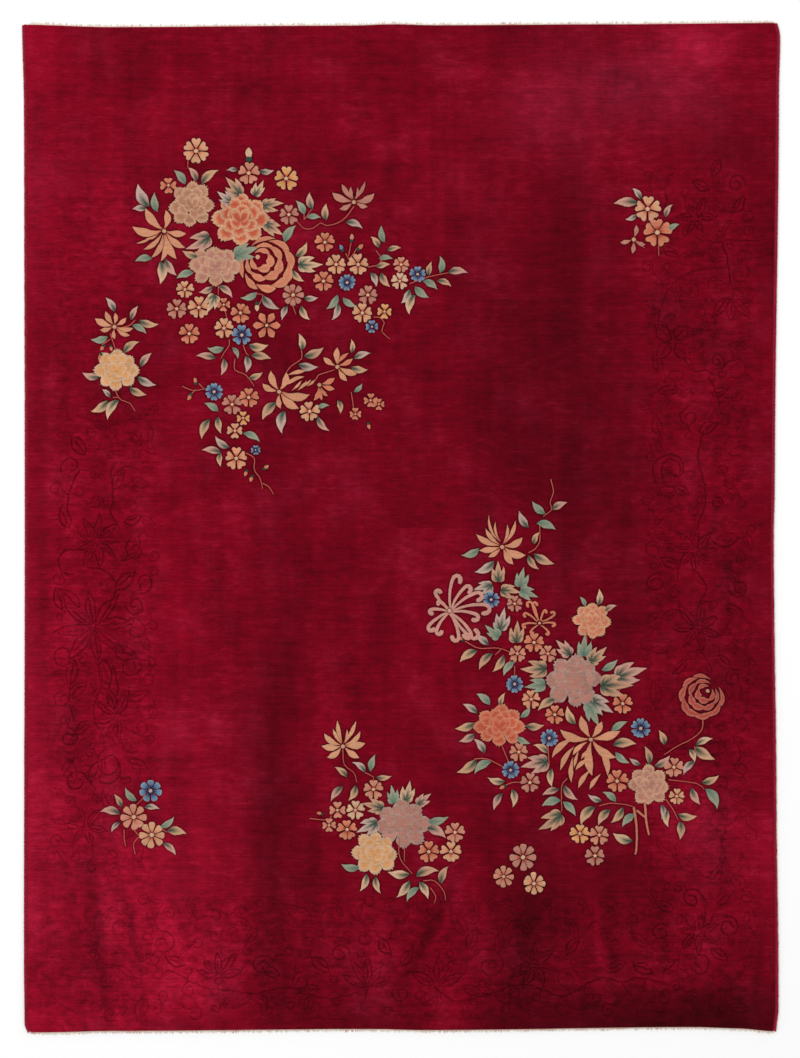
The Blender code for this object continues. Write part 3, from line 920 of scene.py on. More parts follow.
carved = {  # places in centimetres from the rug's middle
    "scrolls": (  # x, y, radius, start, turns, way
        (-93, -20, 4.0, 250, 0.9, 1), (-96, -28, 3.5, 200, 1.2, 1), (-96, -37, 4.6, 160, 1.2, -1),
        (-119, -14, 7.0, 60, 0.6, 1), (-110, 9, 2.6, 0, 1.3, 1), (-122, -62, 3.2, 100, 1.3, 1),
        (-108, -61, 3.8, 160, 1.3, -1), (-105, -85, 5.2, 120, 1.2, 1), (-105, -86, 8.0, 200, 0.5, 1),
        (-98, -50, 4.4, 60, 1.2, -1), (-122, -46, 4.0, 300, 1.1, -1), (-117, -92, 4.4, 20, 1.1, 1),
        (-94, -72, 3.4, 200, 1.1, 1), (-119, 22, 4.0, 200, 0.8, -1), (-99, 18, 4.4, 40, 0.9, 1),
        (-120, -76, 3.6, 80, 1.1, -1), (-96, -8, 4.0, 120, 1.1, 1), (-104, 34, 4.0, 0, 1.0, 1),
        (121, 57, 3.8, 90, 1.2, -1), (114, 60, 2.6, 0, 1.3, 1), (98, 21, 7.2, 200, 0.8, -1),
        (98, 21, 4.6, 220, 1.0, -1), (114, 9, 2.4, 0, 1.2, 1), (91, -8, 3.2, 60, 1.2, 1),
        (92, -20, 3.6, 80, 1.2, 1), (122, -22, 3.6, 200, 1.2, 1), (92, -34, 3.6, 60, 1.2, 1),
        (120, -54, 3.4, 60, 1.3, 1), (104, 40, 3.8, 90, 1.2, 1), (120, 30, 4.4, 300, 1.1, -1),
        (122, 92, 3.6, 40, 1.1, -1), (96, 108, 3.6, 200, 1.1, 1), (92, 118, 4.0, 20, 1.0, -1),
        (121, 124, 3.4, 0, 1.2, 1), (-86, -150, 4.4, 100, 1.2, -1), (-50, -158, 4.0, 30, 1.3, 1),
        (-36, -164, 3.6, 90, 1.2, 1), (-22, -154, 3.6, 0, 1.2, 1), (32, -158, 6.4, 150, 1.1, -1),
        (32, -159, 8.6, 160, 0.6, -1), (60, -163, 4.4, 20, 1.2, 1), (105, -134, 3.8, 20, 1.2, 1),
        (118, -144, 4.0, 90, 1.2, -1), (108, -157, 4.4, 200, 1.1, 1), (121, -128, 3.0, 0, 1.2, 1),
        (94, -146, 3.4, 60, 1.2, 1), (0, -168, 3.4, 180, 1.0, 1),
    ),
    "flowers": (  # x, y, length of the petals, petals, middle direction, spread, slimness
        (-111, -36, 13, 8, 98, 360, 0.15), (-110, -5, 8.0, 9, 80, 360, 0.16),
        (-102, -68, 8.5, 6, 170, 200, 0.17), (98, 67, 7.5, 4, 45, 360, 0.36),
        (106, -8, 7.0, 8, 90, 360, 0.18), (107, -36, 8.0, 7, 80, 360, 0.19),
        (119, 84, 9.0, 3, -90, 80, 0.20), (106, 112, 6.0, 6, 60, 360, 0.2),
        (-12, -166, 9.0, 5, 90, 130, 0.17), (13, -166, 10.0, 5, 88, 120, 0.17),
        (-66, -162, 8.0, 5, 90, 150, 0.18), (48, -158, 7.0, 7, 90, 360, 0.18),
        (107, -146, 6.5, 7, 20, 360, 0.19), (-114, -108, 6.5, 6, 50, 360, 0.19),
    ),
    "leaves": (  # x, y, then the reach to the tip
        (-116, -29, -8, 7), (-118, -92, -3, 9), (-112, -92, 4, 8), (-104, -44, 9, -3),
        (-118, -48, -2, -9), (-108, -48, 3, -9), (-114, -56, -6, -6), (-103, -22, 7, 6),
        (-101, -12, 6, 4), (-120, 0, -3, 8), (-104, 14, 4, 8), (-114, 26, -5, 7), (-98, -62, 7, 3),
        (-112, -70, -6, -5), (-108, -96, 5, -7), (-98, -84, 6, -3), (-100, 2, 6, 2), (-122, -30, -3, 8),
        (116, 16, 6, -4), (113, -5, 9, 1), (100, 50, -7, -1), (94, 56, -3, 7), (122, 80, 5, 2),
        (112, 74, -5, -4), (108, 34, 6, 4), (104, 12, -6, 3), (117, -28, 6, -3), (100, -14, -6, 3),
        (100, -30, -6, -3), (114, -46, 5, -5), (103, -48, -5, -5), (112, 127, 3, 6), (111, 122, -6, 3),
        (120, 114, 4, 6), (100, 98, -6, 3), (112, 48, 6, 2), (-26, -160, -7, 5), (-30, -166, -7, -2),
        (0, -158, 4, 6), (22, -166, 7, -2), (40, -162, 6, 4), (-44, -162, -6, 3), (-78, -158, -7, 3),
        (74, -160, 7, 3), (84, -158, 7, -3), (-56, -150, 4, 6), (98, -138, -6, 3), (114, -136, 5, 5),
        (112, -152, 6, -4), (100, -156, -5, -5), (112, -128, 4, 6), (60, -154, 4, 6), (-4, -154, -4, 6),
        (24, -152, 3, 7),
    ),
    "lines": (  # stems and waves, through the given places
        ((-116, 21), (-120, 12), (-120, 4)), ((-105, 21), (-104, 11), (-105, 6), (-102, 0)),
        ((-112, -14), (-106, -16), (-103, -22), (-106, -29)),
        ((-110, -48), (-108, -56), (-111, -66), (-107, -78)), ((-119, -52), (-120, -60), (-118, -70)),
        ((-104, -50), (-102, -60), (-104, -66)), ((-112, -78), (-118, -84), (-122, -90)),
        ((-102, -36), (-98, -33), (-95, -33)), ((107, 104.5), (113, 103), (120, 104), (129, 103.5)),
        ((116, 103), (118, 96), (119, 88)), ((117, 94), (108, 93), (100, 90), (94, 80), (92, 70)),
        ((111, 54), (114, 48), (116, 41)), ((103, 60), (106, 56), (110, 57), (113, 55)),
        ((110, 36), (107, 26), (110, 12), (107, 0)), ((107, -16), (110, -22), (107, -29)),
        ((108, -44), (112, -52), (108, -62)), ((90, 30), (91, 20), (94, 12)),
        ((68, -164), (74, -162.5), (80, -164), (86, -162.5), (94, -164)), ((-12, -166), (-13, -170)),
        ((-16, -168), (-28, -170), (-40, -166), (-54, -168), (-70, -166), (-84, -160)),
        ((13, -167), (20, -171), (30, -169)), ((30, -169), (44, -165), (58, -169), (68, -164)),
        ((116, 58), (118, 60), (120, 61)),
    ),
}


# where sprigs may grow: low and high x, low and high y in centimetres, and how many are tried
sprigBands = ((-125, -89, -124, 44, 900), (88, 127, -166, 128, 1300), (-112, 124, -176, -134, 1500))
tendrilShare = 0.62  # the others are leaves


def sprigs(strokes):  # tendrils and leaves grow from the nearest line into what is left of the border
    taken = np.concatenate([np.array(stroke) for stroke in strokes])
    added = []
    for lowX, highX, lowY, highY, tries in sprigBands:
        for attempt in range(tries):
            spot = plane(chance.uniform(lowX, highX), chance.uniform(lowY, highY))
            off = abs(taken - spot)
            size = chance.uniform(1.6, 3.0)
            if not (size + 0.5) * cm < off.min() < 9 * cm:  # too crowded, or too far from any line
                continue
            root = taken[off.argmin()]
            way = chance.choice((-1, 1))
            angle = np.angle(root - spot)
            if chance.random() < tendrilShare:
                hook = scroll(spot.real / cm, spot.imag / cm, size, math.degrees(angle) + 70 * way,
                              chance.uniform(0.8, 1.2), way)
                between = (root + hook[0]) / 2 + 1j * (hook[0] - root) * 0.18 * way
                fresh = [[root, between, *hook]]
            else:
                reach = (spot - root) * chance.uniform(1.1, 1.4) * np.exp(1j * chance.uniform(-0.3, 0.3)) / cm
                fresh = carvedLeaf(root.real / cm, root.imag / cm, reach.real, reach.imag, 0.22)
            added += fresh
            taken = np.concatenate((taken, *[np.array(stroke) for stroke in fresh]))
    return added


def carvedStrokes():  # each stroke with its own depth, as the shears went in deeper or less deep
    strokes = [scroll(*row) for row in carved["scrolls"]]
    for row in carved["flowers"]:
        strokes += carvedFlower(*row)
    for row in carved["leaves"]:
        strokes += carvedLeaf(*row)
    strokes += [[plane(*place) for place in line] for line in carved["lines"]]
    depths = list(chance.uniform(*relief["mainDepths"], len(strokes)))
    strokes += sprigs(strokes)
    depths += list(chance.uniform(*relief["sprigDepths"], len(strokes) - len(depths)))
    wobbled = []
    for stroke, depth in zip(strokes, depths):
        line = smoothLine(stroke, relief["step"])
        drift = uneven(relief["drift"], len(line))
        wobbled.append((line + softenedLine(drift.real) + 1j * softenedLine(drift.imag), depth))
    return wobbled


# painted sheen and shade of the pile lying different ways, in soft patches: x, y, half widths in cm, turn in
# degrees, shade, pale sheen
napShadingPatches = (
    (-140, 0, 20, 300, 0, 0.24, 0.1), (-95, 120, 36, 70, 0, 0.10, 0), (-132, 178, 16, 20, 0, 0.16, 0),
    (-92, -140, 34, 64, 0, 0.38, 0.25), (-78, -20, 24, 66, 0, 0.18, 0), (-76, -140, 18, 40, 0, 0.12, 0),
    (-45, -118, 13, 76, 0, -0.22, 0), (-38, 60, 34, 30, 0, -0.12, 0), (48, 60, 28, 70, 0, -0.26, 0),
    (76, -10, 24, 55, 0, -0.12, 0), (105, 176, 17, 9, 0, 0.52, 0.5), (112, -35, 26, 34, 0, -0.08, 0),
    (52, 150, 18, 12, 10, 0.12, 0.5), (82, 158, 30, 13, -14, 0.08, 0.7), (-10, 150, 50, 30, 0, 0.08, 0),
    (76, -184, 60, 16, 0, -0.36, 0), (46, -146, 13, 30, 0, -0.40, 0), (-14, -178, 12, 10, 0, -0.16, 0),
    (75, -126, 16, 20, 0, -0.20, 0), (128, -118, 14, 24, 0, 0.20, 0.1), (126, -58, 14, 18, 0, -0.10, 0),
    (16, -176, 9, 12, 0, 0.16, 0), (-12, -150, 9, 26, 0, 0.08, 0.1), (16, 0, 14, 34, 0, 0.06, 0),
    (-132, -176, 20, 16, 0, 0.16, 0), (-104, 48, 24, 20, 0, -0.08, 0), (122, -178, 34, 20, 0, -0.18, 0),
    (-134, -110, 14, 60, 0, 0.20, 0.2), (-106, 84, 16, 20, 0, -0.04, 0), (128, -150, 12, 16, 0, -0.10, 0),
    (76, -150, 16, 14, 0, -0.08, 0), (128, 124, 16, 34, 0, -0.12, 0), (74, 76, 14, 24, 0, -0.06, 0),
    (-138, -34, 12, 34, 0, 0.14, 0.1), (-136, 118, 12, 44, 0, 0.11, 0.1),
    (-102, 120, 16, 14, 0, 0.14, 0.1), (-18, -70, 14, 24, 0, 0.14, 0), (16, -44, 12, 16, 0, 0.14, 0),
    (-24, -168, 20, 14, 0, -0.14, 0), (108, -108, 14, 16, 0, 0.18, 0.2), (16, 120, 14, 16, 0, 0.12, 0.1),
    (-132, 52, 14, 16, 0, -0.10, 0), (-44, -46, 12, 20, 0, -0.12, 0), (18, -138, 10, 14, 0, -0.08, 0),
    (-14, 118, 12, 14, 0, -0.08, 0), (-46, 20, 14, 18, 0, -0.08, 0), (104, 74, 16, 22, 0, -0.08, 0),
    (76, 22, 14, 16, 0, -0.10, 0),
)
plainNap, darkestNap = 0.72, 0.2
calm = 0.25  # how strongly the uneven stand of the pile is painted lighter and darker where nothing is carved


def napOf(x, y):  # painted light and shade: how light the pile looks by the way it lies, how much pale painted sheen it shows, and how strongly its uneven stand is painted lighter and darker
    napShading, paleSheen = np.full_like(x, plainNap), np.zeros_like(x)
    for atX, atY, halfX, halfY, turn, shade, pink in napShadingPatches:
        angle = math.radians(turn)
        along = ((x - atX * cm) * math.cos(angle) + (y - atY * cm) * math.sin(angle)) / (halfX * cm)
        aside = ((y - atY * cm) * math.cos(angle) - (x - atX * cm) * math.sin(angle)) / (halfY * cm)
        weight = np.exp(-(along ** 2 + aside ** 2))
        napShading += shade * weight
        paleSheen += pink * weight
    across, along = abs(x) / cm, y / cm
    # painted shade: a strip at the right of the low end, where the pile is brushed the other way, is darker
    napShading -= 0.12 * smoothStep(-164.5, -168.5, along) * smoothStep(46, 70, x / cm)
    # the troughs' painted light and shade
    napShading = np.maximum(napShading * (1 + foldsOf(x, y)[1]), darkestNap)
    # the uneven stand of the pile is painted lighter and darker most along the carved border, at both sides
    # and the low end
    sides = smoothStep(82, 96, across) * (1 - smoothStep(122, 132, across))
    sides = sides * (1 - smoothStep(110, 136, along))
    foot = smoothStep(-184, -172, along) * (1 - smoothStep(-140, -126, along))
    return napShading, paleSheen, calm + np.maximum(sides, foot)


# the ground

ground = {
    "sparse": 34 * mm,  # spacing of the points where nothing is carved
    "jitter": 3 * mm,  # how far those are from an even grid
    "innerStep": 6.5 * mm,  # spacing at the foot of a groove's wall, and along its outer lip
    "lipStep": 9 * mm,
    "closest": 3.4 * mm,
    "sideMargin": 30 * mm,
    "endMargin": 24 * mm,
    "edgeStep": 24 * mm,
    "wall": 7.5 * mm,  # height of the upright part of the edge
    "underStep": 0.3,  # spacing of the points under the rug, m
    "shoulder": ((0, 0.0), (0, 7.5), (1.2, 10.0), (3.5, 11.5), (7.5, 12.0)),  # inset and height, mm
}


def cornersOf(node):
    return np.array([vertex.co[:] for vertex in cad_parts[node].data.vertices])


def storeValue(mesh, name, values):
    mesh.attributes.new(name, "FLOAT", "POINT").data.foreach_set("value", np.array(values, np.float32))


def ringOf(node, height):  # the outline of a CAD node at one height, in order round the rug
    corners = cornersOf(node)
    ring = corners[abs(corners[:, 2] - height) < 0.2 * mm]
    places = np.unique((ring[:, 0] + 1j * ring[:, 1]).round(5))
    return places[np.argsort(np.angle(places))]


def edgeRing():  # evenly spaced places round the edge of the pile
    places = []
    ring = ringOf("pile_rug", ground["wall"])
    for here, there in zip(ring, np.roll(ring, -1)):
        step = ground["edgeStep"] / max(abs(there - here), 1e-9)
        places += list(here + (there - here) * np.arange(0, 1, min(1, step)))
    return np.array(places)


def insetRing(ring, inset):
    ahead = np.roll(ring, -1) - ring
    behind = ring - np.roll(ring, 1)
    inward = 1j * (ahead / abs(ahead) + behind / abs(behind))
    return ring + inward / abs(inward) * inset


def triangulated(ring, inner):
    flat = [Vector((place.real, place.imag)) for place in np.concatenate((ring, inner))]
    found, _, faces, origins, _, _ = delaunay_2d_cdt(flat, [], [list(range(len(ring)))], 1, 1e-6)
    return found, faces, origins


def surfacePoints(mask, strokes):  # where the pile's surface needs points, and how deep each is carved
    lines = np.concatenate([line for line, depth in strokes])
    lineDepths = np.concatenate([np.full(len(line), depth) for line, depth in strokes])
    sides = np.concatenate([1j * np.gradient(line) for line, depth in strokes])
    sides = sides / abs(sides) * relief["carvedHalf"]
    grid = np.arange(-2, 2, ground["sparse"])
    shifted = (np.arange(len(grid)) % 2)[:, None] * ground["sparse"] / 2
    sparse = (grid[None, :] + 1j * grid[:, None] + shifted).ravel()
    sparse = sparse + uneven(ground["jitter"], len(sparse))
    # beside each carved line the depth is below zero: nothing is cut there, the pile is only painted lighter,
    # a painted highlight
    beside = relief["lipHighlight"] * lineDepths
    groups = (
        (ringPlaces(mask, 0, 1, ground["innerStep"]), 0), (ringPlaces(mask, 3, 4, ground["lipStep"]), 0),
        (lines, lineDepths), (lines + sides, beside), (lines - sides, beside), (sparse, 0),
    )
    places = np.concatenate([group for group, depth in groups])
    depths = np.concatenate([depth + np.zeros(len(group)) for group, depth in groups])
    kept = oneEach(places, ground["closest"])
    places, depths = places[kept], depths[kept]
    inside = abs(places.real) < cadHigh.x - ground["sideMargin"]
    inside &= abs(places.imag) < cadHigh.y - ground["endMargin"]
    return places[inside], depths[inside]


def weaveGround(outlines, strokes, finishes):
    mask = np.zeros(gridSize, bool)
    for outline in outlines:
        fillOutline(mask, outline)
    moat = softened(grown(mask, 1).astype(float))
    ring = edgeRing()
    ringCount = len(ring)
    places, depths = surfacePoints(mask, strokes)

    rings = [insetRing(ring, inset * mm) if inset else ring for inset, height in ground["shoulder"]]
    heights = [height * mm * pile["top"] / (12 * mm) for inset, height in ground["shoulder"]]
    found, faces, origins = triangulated(rings[-1], places)
    vertices, allFaces, cutShading = [], [], []
    for level, height in zip(rings, heights):
        dip = lieOf(level.real, level.imag) * (height / pile["top"])
        vertices += np.column_stack((level.real, level.imag, height + dip)).tolist()
        cutShading += [0.0] * ringCount
    for level in range(len(rings) - 1):
        for spot in range(ringCount):
            after = (spot + 1) % ringCount
            allFaces.append((level * ringCount + spot, level * ringCount + after,
                             (level + 1) * ringCount + after, (level + 1) * ringCount + spot))
    lastRing = (len(rings) - 1) * ringCount
    number, inner = {}, []
    for index, origin in enumerate(origins):
        first = min(origin) if origin else ringCount
        if first < ringCount:
            number[index] = lastRing + first
        else:
            number[index] = len(vertices) + len(inner)
            inner.append((complex(*found[index]), depths[first - ringCount] if origin else 0))
    spots = np.array([place for place, depth in inner])
    carvedDepth = np.array([depth for place, depth in inner])
    groove = sampled(moat, spots)
    height = (pile["top"] + lieOf(spots.real, spots.imag) - relief["groove"] * groove
              - relief["carved"] * np.maximum(carvedDepth, 0) * (1 - groove))
    vertices += np.column_stack((spots.real, spots.imag, height)).tolist()
    # painted shade, strongest down in a groove or carved line; below zero beside the carved lines, a painted
    # highlight
    cutShading += np.where(groove > 0.05, groove, 0.85 * carvedDepth).tolist()
    allFaces += [tuple(number[corner] for corner in face) for face in faces]
    topCount = len(allFaces)

    coarse = np.arange(-1.65, 1.66, ground["underStep"])
    under = (coarse[None, :] + 1j * coarse[:, None]).ravel()
    under = under[abs(under.real) < 1.3]
    foundUnder, facesUnder, originsUnder = triangulated(rings[0], under)
    numberUnder = {}
    for index, origin in enumerate(originsUnder):
        first = min(origin)
        if first < ringCount:
            numberUnder[index] = first
        else:
            numberUnder[index] = len(vertices)
            vertices.append((*foundUnder[index], 0.0))
            cutShading.append(0.0)
    allFaces += [tuple(numberUnder[corner] for corner in reversed(face)) for face in facesUnder]

    mesh = bpy.data.meshes.new("woolGround")
    mesh.from_pydata(vertices, [], allFaces)
    for finish in finishes:
        mesh.materials.append(finish)
    mesh.polygons.foreach_set("material_index", [0] * topCount + [1] * len(facesUnder))
    corners = np.array(vertices)
    napShading, paleSheen, unevenStandShading = napOf(corners[:, 0], corners[:, 1])
    for name, values in (("cut", cutShading), ("napShading", napShading), ("paleSheen", paleSheen), ("unevenStandShading", unevenStandShading)):
        storeValue(mesh, name, values)
    mesh.shade_smooth()
    mesh.update()
    print("woolGround", len(vertices), "points,", len(allFaces), "faces")
    return placed("woolGround", mesh)


# node trees

class Wire:  # one output socket, so that sums on it add Math nodes
    def __init__(self, maker, socket):
        self.maker, self.socket = maker, socket

    def math(self, operation, *others):
        values = dict(enumerate((self, *others)))
        return self.maker.node("ShaderNodeMath", {"operation": operation}, values)

    def __add__(self, other):
        return self.math("ADD", other)

    def __sub__(self, other):
        return self.math("SUBTRACT", other)

    def __mul__(self, other):
        return self.math("MULTIPLY", other)

    def __rsub__(self, other):
        return self.maker.node("ShaderNodeMath", {"operation": "SUBTRACT"}, {0: other, 1: self})

    def kept(self, low=None, high=None):  # not under low, not over high
        wire = self if low is None else self.math("MAXIMUM", low)
        return wire if high is None else wire.math("MINIMUM", high)

    __radd__ = __add__
    __rmul__ = __mul__


class Maker:  # adds nodes to one tree: settings first, then the values or links of their sockets
    def __init__(self, tree):
        self.tree = tree

    def node(self, kind, settings=None, values=None, out=0):
        node = self.tree.nodes.new(kind)
        for name, value in (settings or {}).items():
            setattr(node, name, value)
        for name, value in (values or {}).items():
            if isinstance(value, Wire):
                self.tree.links.new(value.socket, node.inputs[name])
            else:
                node.inputs[name].default_value = value
        return Wire(self, node.outputs[out]) if node.outputs else node

    def link(self, wire, socket):
        self.tree.links.new(wire.socket, socket)

    def mixed(self, share, first, second, blend="MIX"):
        return self.node("ShaderNodeMix", {"data_type": "RGBA", "blend_type": blend},
                         {0: share, 6: first, 7: second}, out=2)

    def vector(self, x, y, z):
        return self.node("ShaderNodeCombineXYZ", {}, {0: x, 1: y, 2: z})

    def shaded(self, base, brightness, share=1.0, blend="MULTIPLY"):
        return self.mixed(share, base, self.vector(brightness, brightness, brightness), blend)


def colour(shades):
    return (*(float(shade) for shade in shades), 1.0)


def newMaterial(name, settings):  # what is the same all over the surface is set on the shader itself
    material = bpy.data.materials.new(name)
    material.use_nodes = True
    shader = next(node for node in material.node_tree.nodes if node.type == "BSDF_PRINCIPLED")
    for socket, value in settings.items():
        shader.inputs[socket].default_value = value
    return material, shader


def finished(name, draw, roughness, sheen, sheenTint=(1, 1, 1)):  # draw gives the base colour and the bump
    material, shader = newMaterial(name, {
        "Roughness": roughness, "Sheen Weight": sheen, "Sheen Roughness": 0.45, "Sheen Tint": (*sheenTint, 1),
        "Specular IOR Level": 0.04})
    maker = Maker(material.node_tree)
    base, bump = draw(maker)
    maker.link(base, shader.inputs["Base Color"])
    maker.link(bump, shader.inputs["Normal"])
    return material


def scaled(maker, scales):  # object coordinates, stretched
    place = maker.node("ShaderNodeTexCoord", out=3)
    return maker.node("ShaderNodeMapping", {}, {0: place, 3: scales})


def noise(maker, scales, detail=2.0, roughness=0.5, distortion=0.0):
    return maker.node("ShaderNodeTexNoise", {}, {
        "Vector": scaled(maker, scales), "Scale": 1.0, "Detail": detail, "Roughness": roughness,
        "Distortion": distortion})


def valueOf(maker, name):  # a number of the piece's own, at each point
    return maker.node("ShaderNodeAttribute", {"attribute_name": name}, out=2)


def bumps(maker, strength, distance, height):
    return maker.node("ShaderNodeBump", {}, {"Strength": strength, "Distance": distance, "Height": height})


def knots(maker, strength):  # the fine bumps of the cut tufts
    tufts = noise(maker, (430, 430, 430), 2.0, 0.6)
    rows = noise(maker, (60, 330, 60), 1.0)
    return bumps(maker, strength, 2.0 * mm, tufts * 0.75 + rows * 0.25)


wool = {
    "roughness": 0.86,
    "sheen": 0.22,
    "bump": 0.9,
    "ruffledShading": 1.0,  # painted light and shade: how much the pile's uneven stand lightens and darkens it where it is carved
    "motifWear": 0.74,
    "grooveShade": 0.62,  # painted shade: how much darker the pile is coloured down in a cut
}

# what lightens and darkens the ground: how much, then the noise's scales, detail and roughness
groundLayers = {
    "dashes": (0.60, (26, 180, 1), 2.0, 0.6),  # short lengths of a row of knots
    "bands": (0.45, (0.9, 15, 1), 2.0, 0.6),  # changes of dye lot across the rug
    "brushedLightAndShade": (0.45, (8, 0.8, 1), 3.0, 0.6),  # painted sheen of the pile brushed along the rug
    "grain": (0.60, (150, 230, 1), 2.0, 0.6),
    "clouds": (1.40, (4.0, 3.4, 1), 5.0, 0.62),
    "mottle": (0.70, (17, 46, 1), 3.0, 0.6),
    "speckle": (0.80, (300, 380, 300), 2.0, 0.7),
    "rows": (0.55, (3, 130, 1), 2.0, 0.6),  # rows of knots, seen as fine lines across
    "leaningSheen": (0.40, (24, 1.1, 1), 2.0, 0.55),  # painted sheen of narrow ways in which the pile leans
}


def crimsonPile(maker):
    # painted light and shade of the unevenly standing pile
    ruffledShading = noise(maker, (26, 34, 1), 3.0, 0.6, 0.8)
    brightness = 1 + (ruffledShading - 0.5) * valueOf(maker, "unevenStandShading") * wool["ruffledShading"]
    layers = {name: noise(maker, *settings) for name, (weight, *settings) in groundLayers.items()}
    for name, layer in layers.items():
        brightness = brightness + (layer - 0.5) * groundLayers[name][0]
    # painted sheen and shade of the pile's lie, painted shade down in the cuts, painted highlight beside the
    # carved lines
    brightness = brightness * valueOf(maker, "napShading") * (1 - valueOf(maker, "cut") * wool["grooveShade"])
    faded = noise(maker, (5, 3.4, 1), 5.0, 0.66)
    # short dashes where the fibres are paler
    rubbed = layers["dashes"] * 0.4 + layers["mottle"] * 0.8 + layers["clouds"] * 0.8 - 1.05
    bloom = ((faded - 0.5) * 1.1).kept(0.0) + (rubbed * 0.9).kept(0.0)
    # pale pink painted sheen, with the paler dashes and patches of fibre
    base = maker.mixed((valueOf(maker, "paleSheen") * 0.5 + bloom).kept(high=1.0), colour(dyes["crimson"]),
                       colour(linear(152, 32, 60)))
    return maker.shaded(base, brightness), knots(maker, wool["bump"])


def flowerPile(maker):
    rows = noise(maker, (26, 150, 26), 2.0, 0.6)
    speckle = noise(maker, (230, 230, 230), 2.0)
    brightness = wool["motifWear"] + (rows - 0.5) * 0.36 + (speckle - 0.5) * 0.45
    dye = maker.node("ShaderNodeAttribute", {"attribute_name": "dye"})
    return maker.shaded(dye, brightness), knots(maker, wool["bump"])


def wovenBack(maker):  # the underside: rows of knots, and the cotton warp and weft between them
    across = noise(maker, (330, 330, 1), 1.0)
    weft = noise(maker, (20, 260, 1), 2.0)
    checks = maker.node("ShaderNodeTexChecker", {},
                        {"Vector": scaled(maker, (1, 1, 1)), "Scale": 330.0}, out=1)
    worn = (across * 0.6 + weft * 0.4 + checks * 0.25 - 0.48) * 2.2
    base = maker.mixed(worn.kept(0.0, 1.0), colour(linear(112, 22, 38)), colour(linear(190, 140, 120)))
    return base, bumps(maker, 0.6, 0.8 * mm, checks * 0.5 + across * 0.5)


def sideYarn(maker):  # the overcast wool of the sides
    plies = noise(maker, (300, 120, 300), 2.0, 0.6)
    lengths = noise(maker, (3, 9, 3), 3.0, 0.7)
    worn = valueOf(maker, "worn") * ((noise(maker, (40, 34, 40), 2.0) - 0.38) * 5).kept(0.0)
    base = maker.mixed((plies - 0.5) * 0.9 + lengths * 0.8 - 0.1, colour(linear(126, 10, 34)),
                       colour(linear(186, 38, 66)))
    return maker.mixed(worn.kept(high=1.0), base, colour(linear(214, 178, 156))), knots(maker, 0.5)


def warpCotton(maker):
    soiled = noise(maker, (9, 60, 9), 3.0, 0.6)
    grain = noise(maker, (500, 160, 500), 2.0)
    base = maker.mixed((soiled - 0.42) * 3.0, colour(linear(232, 218, 200)), colour(linear(206, 150, 138)))
    return maker.shaded(base, grain, 0.35, "OVERLAY"), knots(maker, 0.4)


# Geometry Nodes: overcast sides and cut warp ends

def newTree(name, sizes, finish):  # one input for each size, then the seed and the material
    tree = bpy.data.node_groups.new(name, "GeometryNodeTree")
    for way in ("INPUT", "OUTPUT"):
        tree.interface.new_socket(name="Geometry", in_out=way, socket_type="NodeSocketGeometry")
    kinds = {**dict.fromkeys(sizes, "Float"), "Seed": "Int", finish: "Material"}
    for socket, kind in kinds.items():
        tree.interface.new_socket(name=socket, in_out="INPUT", socket_type="NodeSocket" + kind)
    maker = Maker(tree)
    source = tree.nodes.new("NodeGroupInput")
    given = {output.name: Wire(maker, output) for output in source.outputs if output.name}
    line = maker.node("GeometryNodeMeshToCurve", {}, {0: given["Geometry"]})
    return maker, given, maker.node("GeometryNodeSetCurveNormal", {"mode": "Z_UP"}, {0: line})


def closeTree(maker, parts, finish):
    joined = maker.node("GeometryNodeJoinGeometry")
    for part in parts:
        maker.link(part, joined.socket.node.inputs[0])
    real = maker.node("GeometryNodeRealizeInstances", {}, {0: joined})
    done = maker.node("GeometryNodeSetMaterial", {}, {0: real, 2: finish})
    target = maker.tree.nodes.new("NodeGroupOutput")
    maker.link(done, target.inputs[0])
    return maker.tree


def pointsAlong(maker, line, step):  # where each wrap or strand goes, and how the line turns there
    points = maker.node("GeometryNodeCurveToPoints", {"mode": "LENGTH"}, {"Curve": line, "Length": step})
    return points, Wire(maker, points.socket.node.outputs["Rotation"])


def circle(maker, corners, radius=1.0):
    return maker.node("GeometryNodeCurvePrimitiveCircle", {"mode": "RADIUS"},
                      {"Resolution": corners, "Radius": radius})


def stretched(maker, loop, shape):
    return maker.node("GeometryNodeTransform", {}, {"Geometry": loop, "Scale": shape})


def swept(maker, line, profile, **others):
    return maker.node("GeometryNodeCurveToMesh", {}, {0: line, "Profile Curve": profile, **others})


def varied(maker, given, low, high):
    return maker.node("FunctionNodeRandomValue", {"data_type": "FLOAT_VECTOR"},
                      {0: low, 1: high, "Seed": given["Seed"]})


def turned(maker, angles):
    return maker.node("FunctionNodeEulerToRotation", {}, {0: angles})


def grownFrom(name, line, tree, values):  # runs a tree on a line of points, and keeps a plain mesh
    guide = bpy.data.meshes.new(name + "Guide")
    guide.from_pydata(line.tolist(), [(spot, spot + 1) for spot in range(len(line) - 1)], [])
    piece = placed(name, guide)
    modifier = piece.modifiers.new(name, "NODES")
    modifier.node_group = tree
    sockets = {item.name: item.identifier for item in tree.interface.items_tree if item.in_out == "INPUT"}
    for key, value in values.items():
        modifier[sockets[key]] = value
    graph = bpy.context.evaluated_depsgraph_get()
    mesh = bpy.data.meshes.new_from_object(
        piece.evaluated_get(graph), preserve_all_data_layers=True, depsgraph=graph)
    piece.modifiers.remove(modifier)
    piece.data = mesh
    bpy.data.meshes.remove(guide)
    mesh.shade_smooth()
    print(name, len(mesh.polygons), "faces")
    return piece


